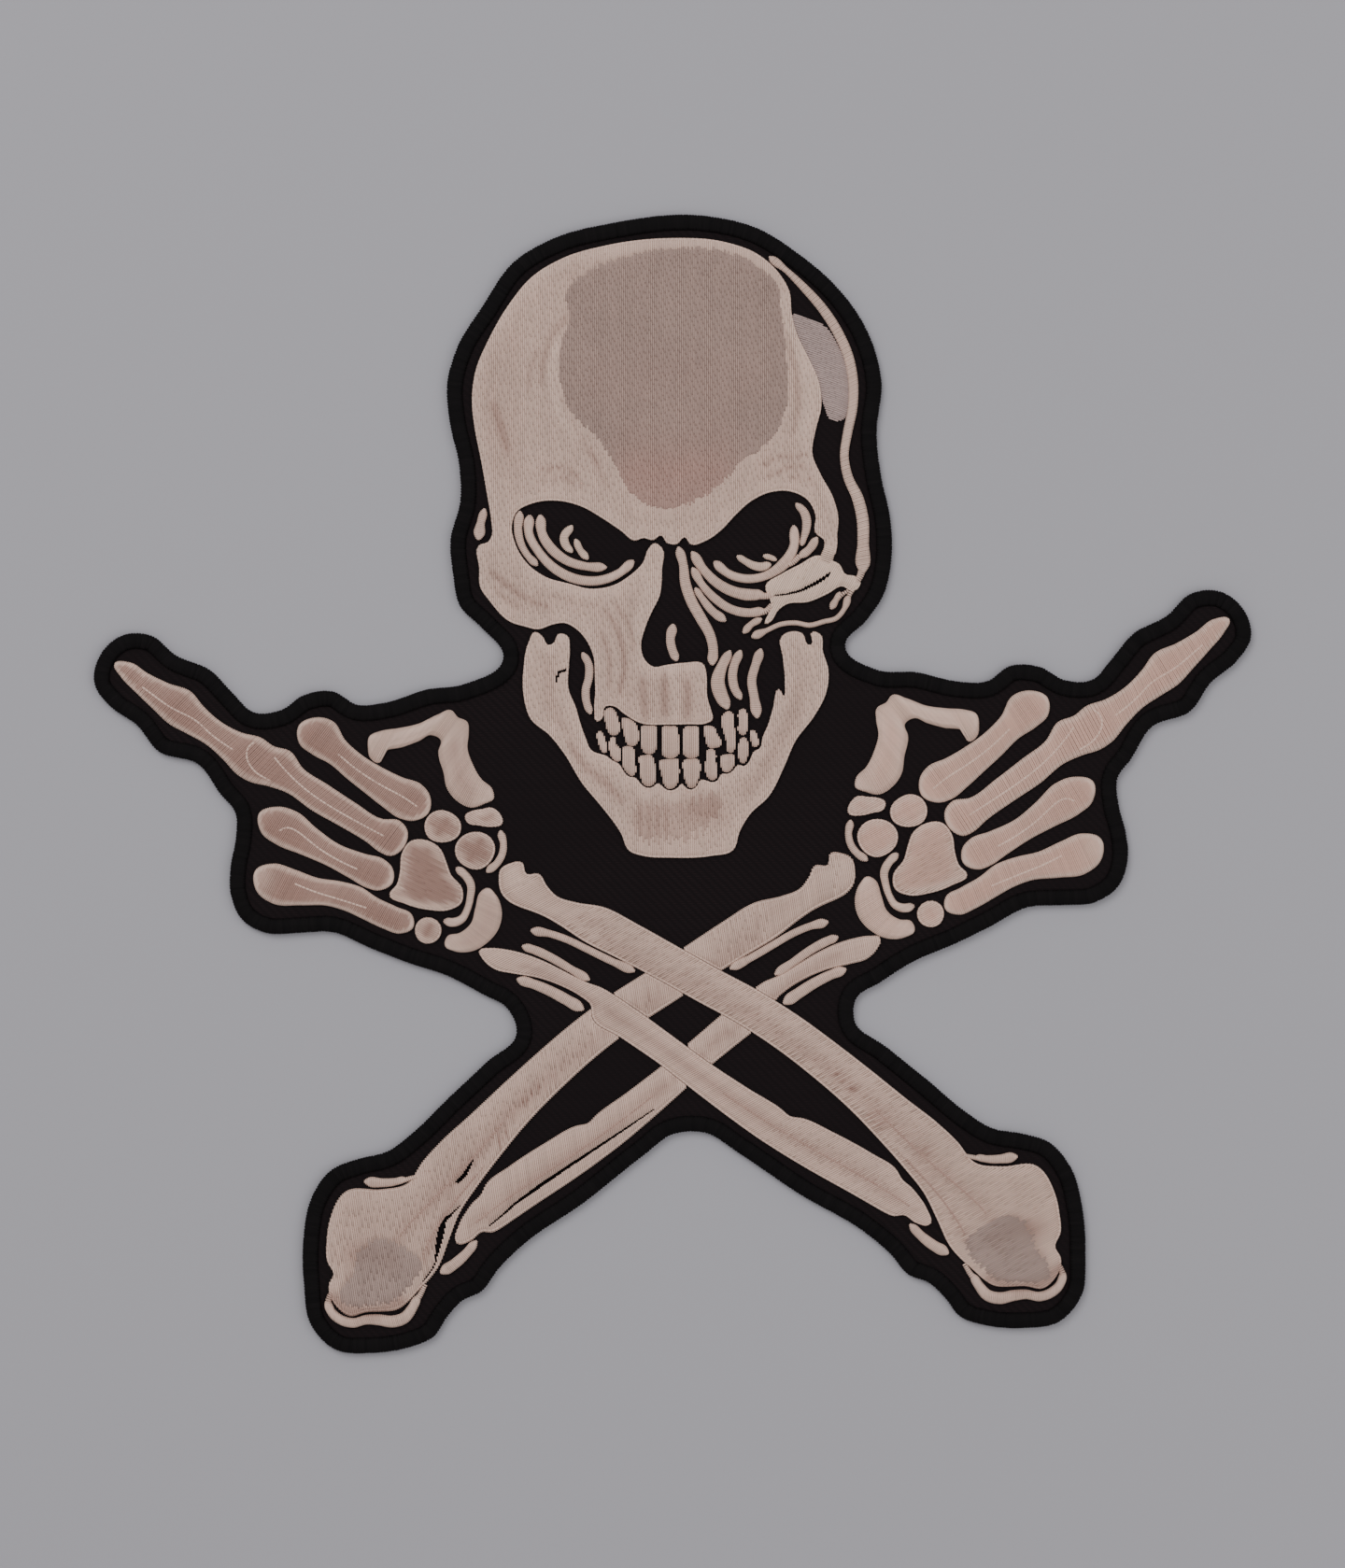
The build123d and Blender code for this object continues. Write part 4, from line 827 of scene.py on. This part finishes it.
# The cloth is a sheet cut to its outline: a net of points inside the rim, with a flat underside and an
# upright wall between them. It dips below its top by the mean of three crossing waves, sin(x a + y b + c),
# which fade out towards the rim.
def makeGroundCloth():
    look = clothLook
    rim = stepped(max(rimsOf("ground_cloth"), key=doubleArea), look["rimSteps"])
    low, high = rim.min(0), rim.max(0)
    across, up = np.meshgrid(*[np.arange(low[i], high[i], look["gridStep"]) for i in (0, 1)])
    net = np.column_stack([across.ravel(), up.ravel()])
    net = net[depthIn(net, [rim]) > look["rimClear"]]
    rimEdges, points = [(i, (i + 1) % len(rim)) for i in range(len(rim))], np.vstack([rim, net])
    solved = delaunay_2d_cdt([Vector(p) for p in points], rimEdges, [list(range(len(rim)))], 1, 1e-9)
    flat, top = np.array([tuple(v) for v in solved[0]]), np.array(solved[2])
    wave = sum(np.sin((flat[:, 0] * a + flat[:, 1] * b) / look["waveLength"] + c)
               for a, b, c in look["waves"]) / len(look["waves"])
    inner = np.clip(rimDistance(flat, [rim]) / look["flatRim"], 0, 1)
    topPoints = np.column_stack([flat, clothTop + look["wave"] * (wave - 1) * inner])
    bottomPoints = np.column_stack([flat, np.zeros(len(flat))])
    count, edge = len(flat), np.arange(len(rim))
    ahead = (edge + 1) % len(rim)
    wall = np.vstack([np.column_stack([edge, edge + count, ahead + count]),
                      np.column_stack([edge, ahead + count, ahead])])
    if doubleArea(flat[top[0]]) < 0:
        top = top[:, ::-1]
    piece = makePiece("groundCloth", "ground_cloth",
                      [{"vertices": np.vstack([topPoints, bottomPoints]),
                        "faces": np.vstack([top, top[:, ::-1] + count, wall]),
                        "material": np.repeat([0, 1, 0], [len(top), len(top), len(wall)])}], [twill, backing])


makeGroundCloth()
print("ground cloth made")

# Bound edge

borderLook = {"stitch": 0.62 * mm, "perStitch": 4, "section": 12, "swell": 0.12, "slant": 1.1, "extra": 0.25 * mm,
              "squareness": 0.72, "looseness": (0.6, 1.4), "widthPoints": 40, "headingSteps": 6,
              "fleck": 0.6, "tone": 0.35, "toneSpread": 0.25}


# A binding sewn over the edge: an oval section stands just inside the rim and is carried round it. It
# swells once for each stitch, and the swelling lags across the section, so that the stitches slant.
def makeBoundEdge():
    look = borderLook
    rims = rimsOf("border", upper=False)
    outer = max(rims, key=doubleArea)
    inner = [rim for rim in rims if rim is not outer]
    width = rimDistance(outer[:look["widthPoints"]], inner).mean() + look["extra"]
    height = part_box("border")[1].z
    stitches = int(lengthOf(outer - np.roll(outer, 1, axis=0)).sum() / look["stitch"])
    count = stitches * look["perStitch"]
    line = stepped(outer, count)
    reach = look["headingSteps"]
    inward = leftOf(unit(np.roll(line, -reach, axis=0) - np.roll(line, reach, axis=0)))
    angle = np.linspace(0, 2 * np.pi, look["section"], endpoint=False)
    shape = np.column_stack([np.cos(angle), np.sin(angle)])
    shape = np.sign(shape) * np.abs(shape) ** look["squareness"]
    phase = np.arange(count)[:, None] / look["perStitch"] + look["slant"] * shape[None, :, 0] / 2
    loose = np.repeat(rng.uniform(*look["looseness"], stitches), look["perStitch"])[:, None]
    swell = 1 - look["swell"] * loose * (1 - np.abs(np.sin(np.pi * phase)))
    across = width / 2 - width / 2 * shape[None, :, 0] * swell
    tall = height / 2 + height / 2 * shape[None, :, 1] * swell
    flat = line[:, None] + inward[:, None] * across[:, :, None]
    vertices = np.concatenate([flat, tall[:, :, None]], axis=2).reshape(-1, 3)
    ring = look["section"]
    step, turn = np.arange(count)[:, None], np.arange(ring)[None]
    nextStep, nextTurn = (step + 1) % count, (turn + 1) % ring
    faces = np.stack([step * ring + turn, nextStep * ring + turn, nextStep * ring + nextTurn,
                      step * ring + nextTurn], axis=2).reshape(-1, 4)[:, ::-1]
    fleck = np.clip(rng.normal(0, look["fleck"], stitches), -1, 1)
    fleck = np.repeat(fleck, look["perStitch"] * ring)
    lay = np.column_stack([np.tile(shape[:, 0], count), np.zeros((count * ring, 2))])
    tone = np.clip(look["tone"] + look["toneSpread"] * fleck, 0, 1)
    makePiece("boundEdge", "border", [{"vertices": vertices, "faces": faces, "fleck": fleck, "lay": lay,
                                       "tone": tone}], [thread["edge"]])


makeBoundEdge()
print("bound edge made")

# Skull

foreheadLook = dict(fieldLook, rimTone=0.05, coreTone=0.05, stitch=2.6 * mm, soft=8 * mm)
chinLook = dict(fieldLook, rimTone=0.45, coreTone=0.5)
templeLook = dict(fieldLook, rimTone=0.05, coreTone=0.1, reach=0.85 * mm, edgeRun=False)
cheekLook = dict(boneLook, stitch=6 * mm, rimTone=0.05, coreTone=0.1, edgeRun=True)
toothLook = dict(lineLook, coreTone=0.3, shoulder=1.2 * mm)

fillShaded("cranium", "forehead_shade", fieldLook, foreheadLook, ("cream", "forehead"), 90, 0.5 * mm)
fillShaded("jaw", "chin_shade", fieldLook, chinLook, ("cream", "cream"), 90, 1.2 * mm)
fillNode("temple_shade", templeLook, "mauve", angle=160)
fillNode("right_cheekbone", cheekLook, "pale", angle=62)
for node in ("upper_teeth", "lower_teeth"):
    fillNode(node, toothLook, "cream", angle=90)
for node in ("rim_line", "ear_sliver", "left_socket_folds", "right_socket_folds", "nose_ridge", "nose_septum",
             "cheek_folds", "arch_line", "right_gums", "left_gum"):
    fillNode(node, lineLook, "cream")
for node in ("left_eye_glints", "right_eye_glint"):
    fillNode(node, lineLook, "pale")
print("skull made")

# Arms and hands

armAngles = {"front": 28, "back": 98}
armReach = {"front": 0.14 * mm, "back": 0.34 * mm}
# Painted light: both hands are one thread, and the back hand's paler core tone and paler dark dye stand for the
# brighter light falling on it.
handTone = {"front": 0.92, "back": 0.8}
handThread = {"front": "cream", "back": "backHandLight"}
elbowLook = dict(armLook, rimTone=0.2, coreTone=0.3)
for arm, angle in armAngles.items():
    handLook, wristLook = dict(boneLook, coreTone=handTone[arm]), dict(carpalLook, coreTone=handTone[arm] + 0.04)
    limbLook, endLook = dict(armLook, reach=armReach[arm]), dict(elbowLook, reach=armReach[arm])
    for bone in ("index_bone", "middle_bone", "ring_bone", "little_bone"):
        fillNode(f"{arm}_hand_{bone}", handLook, handThread[arm], lean=0.02, samples=9)
    for bone in ("thumb", "wrist_crescent"):
        fillNode(f"{arm}_hand_{bone}", dict(boneLook, coreTone=0.35), handThread[arm])
    for bone in ("outer_carpal", "inner_carpal", "pisiform", "thumb_base", "capitate"):
        fillNode(f"{arm}_hand_{bone}", wristLook, handThread[arm], angle=-28 if arm == "front" else 28)
    for bone in ("wrist_hook", "wrist_line"):
        fillNode(f"{arm}_hand_{bone}", lineLook, "cream")
    fillShaded(f"{arm}_arm_radius", f"{arm}_arm_elbow_shade", limbLook, endLook, ("cream", "elbow"), angle, 0.6 * mm)
    fillNode(f"{arm}_arm_ulna", limbLook, "cream", angle=angle)
    for band in ("radius_tendon", "ulna_tendons", "elbow_lines"):
        fillNode(f"{arm}_arm_{band}", lineLook, "cream")
print("arms and hands made")
print("triangles:", sum(triangles.values()), "largest:", max(triangles.items(), key=lambda item: item[1]))

# Stage, light and camera

# A light has its place, its width and its power.
stageLook = {"floor": (160, 158, 164), "floorSize": 6.0, "floorRoughness": 0.9, "world": 0.6,
             "key": ((-0.55, 0.75, 1.15), 0.9, 11.0), "fillLight": ((0.8, -0.2, 1.0), 1.2, 5.0),
             "picture": (1440, 1679), "lens": 100, "share": 0.86}


def areaLight(name):
    place, size, power = stageLook[name]
    data = bpy.data.lights.new(name, "AREA")
    data.shape, data.size, data.energy = "DISK", size, power
    light = intoScene(name, data)
    light.location = place
    light.rotation_euler = (-Vector(place)).to_track_quat("-Z", "Y").to_euler()


def makeStage():
    half = stageLook["floorSize"] / 2
    mesh = bpy.data.meshes.new("floor")
    mesh.from_pydata([(-half, -half, 0), (half, -half, 0), (half, half, 0), (-half, half, 0)], [], [(0, 1, 2, 3)])
    material, tree, shader = newMaterial("pale_floor")
    setInputs(tree, shader, {"Base Color": linear(stageLook["floor"]), "Roughness": stageLook["floorRoughness"]})
    mesh.materials.append(material)
    floor = intoScene("floor", mesh)
    areaLight("key")
    areaLight("fillLight")
    world = bpy.data.worlds.new("studio")
    world.use_nodes = True
    tree = world.node_tree
    setInputs(tree, tree.nodes["Background"], {"Color": (1, 1, 1, 1), "Strength": stageLook["world"]})
    bpy.context.scene.world = world


# The camera looks straight down. Its height makes the patch fill the given share of the picture's width:
# the patch over that share, times the lens over the sensor's width there. The sensor's own width lies along
# the picture's taller side.
def makeCamera():
    data = bpy.data.cameras.new("camera")
    data.lens = stageLook["lens"]
    camera = intoScene("camera", data)
    wide, tall = stageLook["picture"]
    sensorAcross = data.sensor_width * wide / tall
    patchAcross = cadBox[1][0] - cadBox[0][0]
    camera.location = (0, 0, patchAcross / stageLook["share"] * data.lens / sensorAcross)
    bpy.context.scene.camera = camera


makeStage()
makeCamera()
print("stage made")
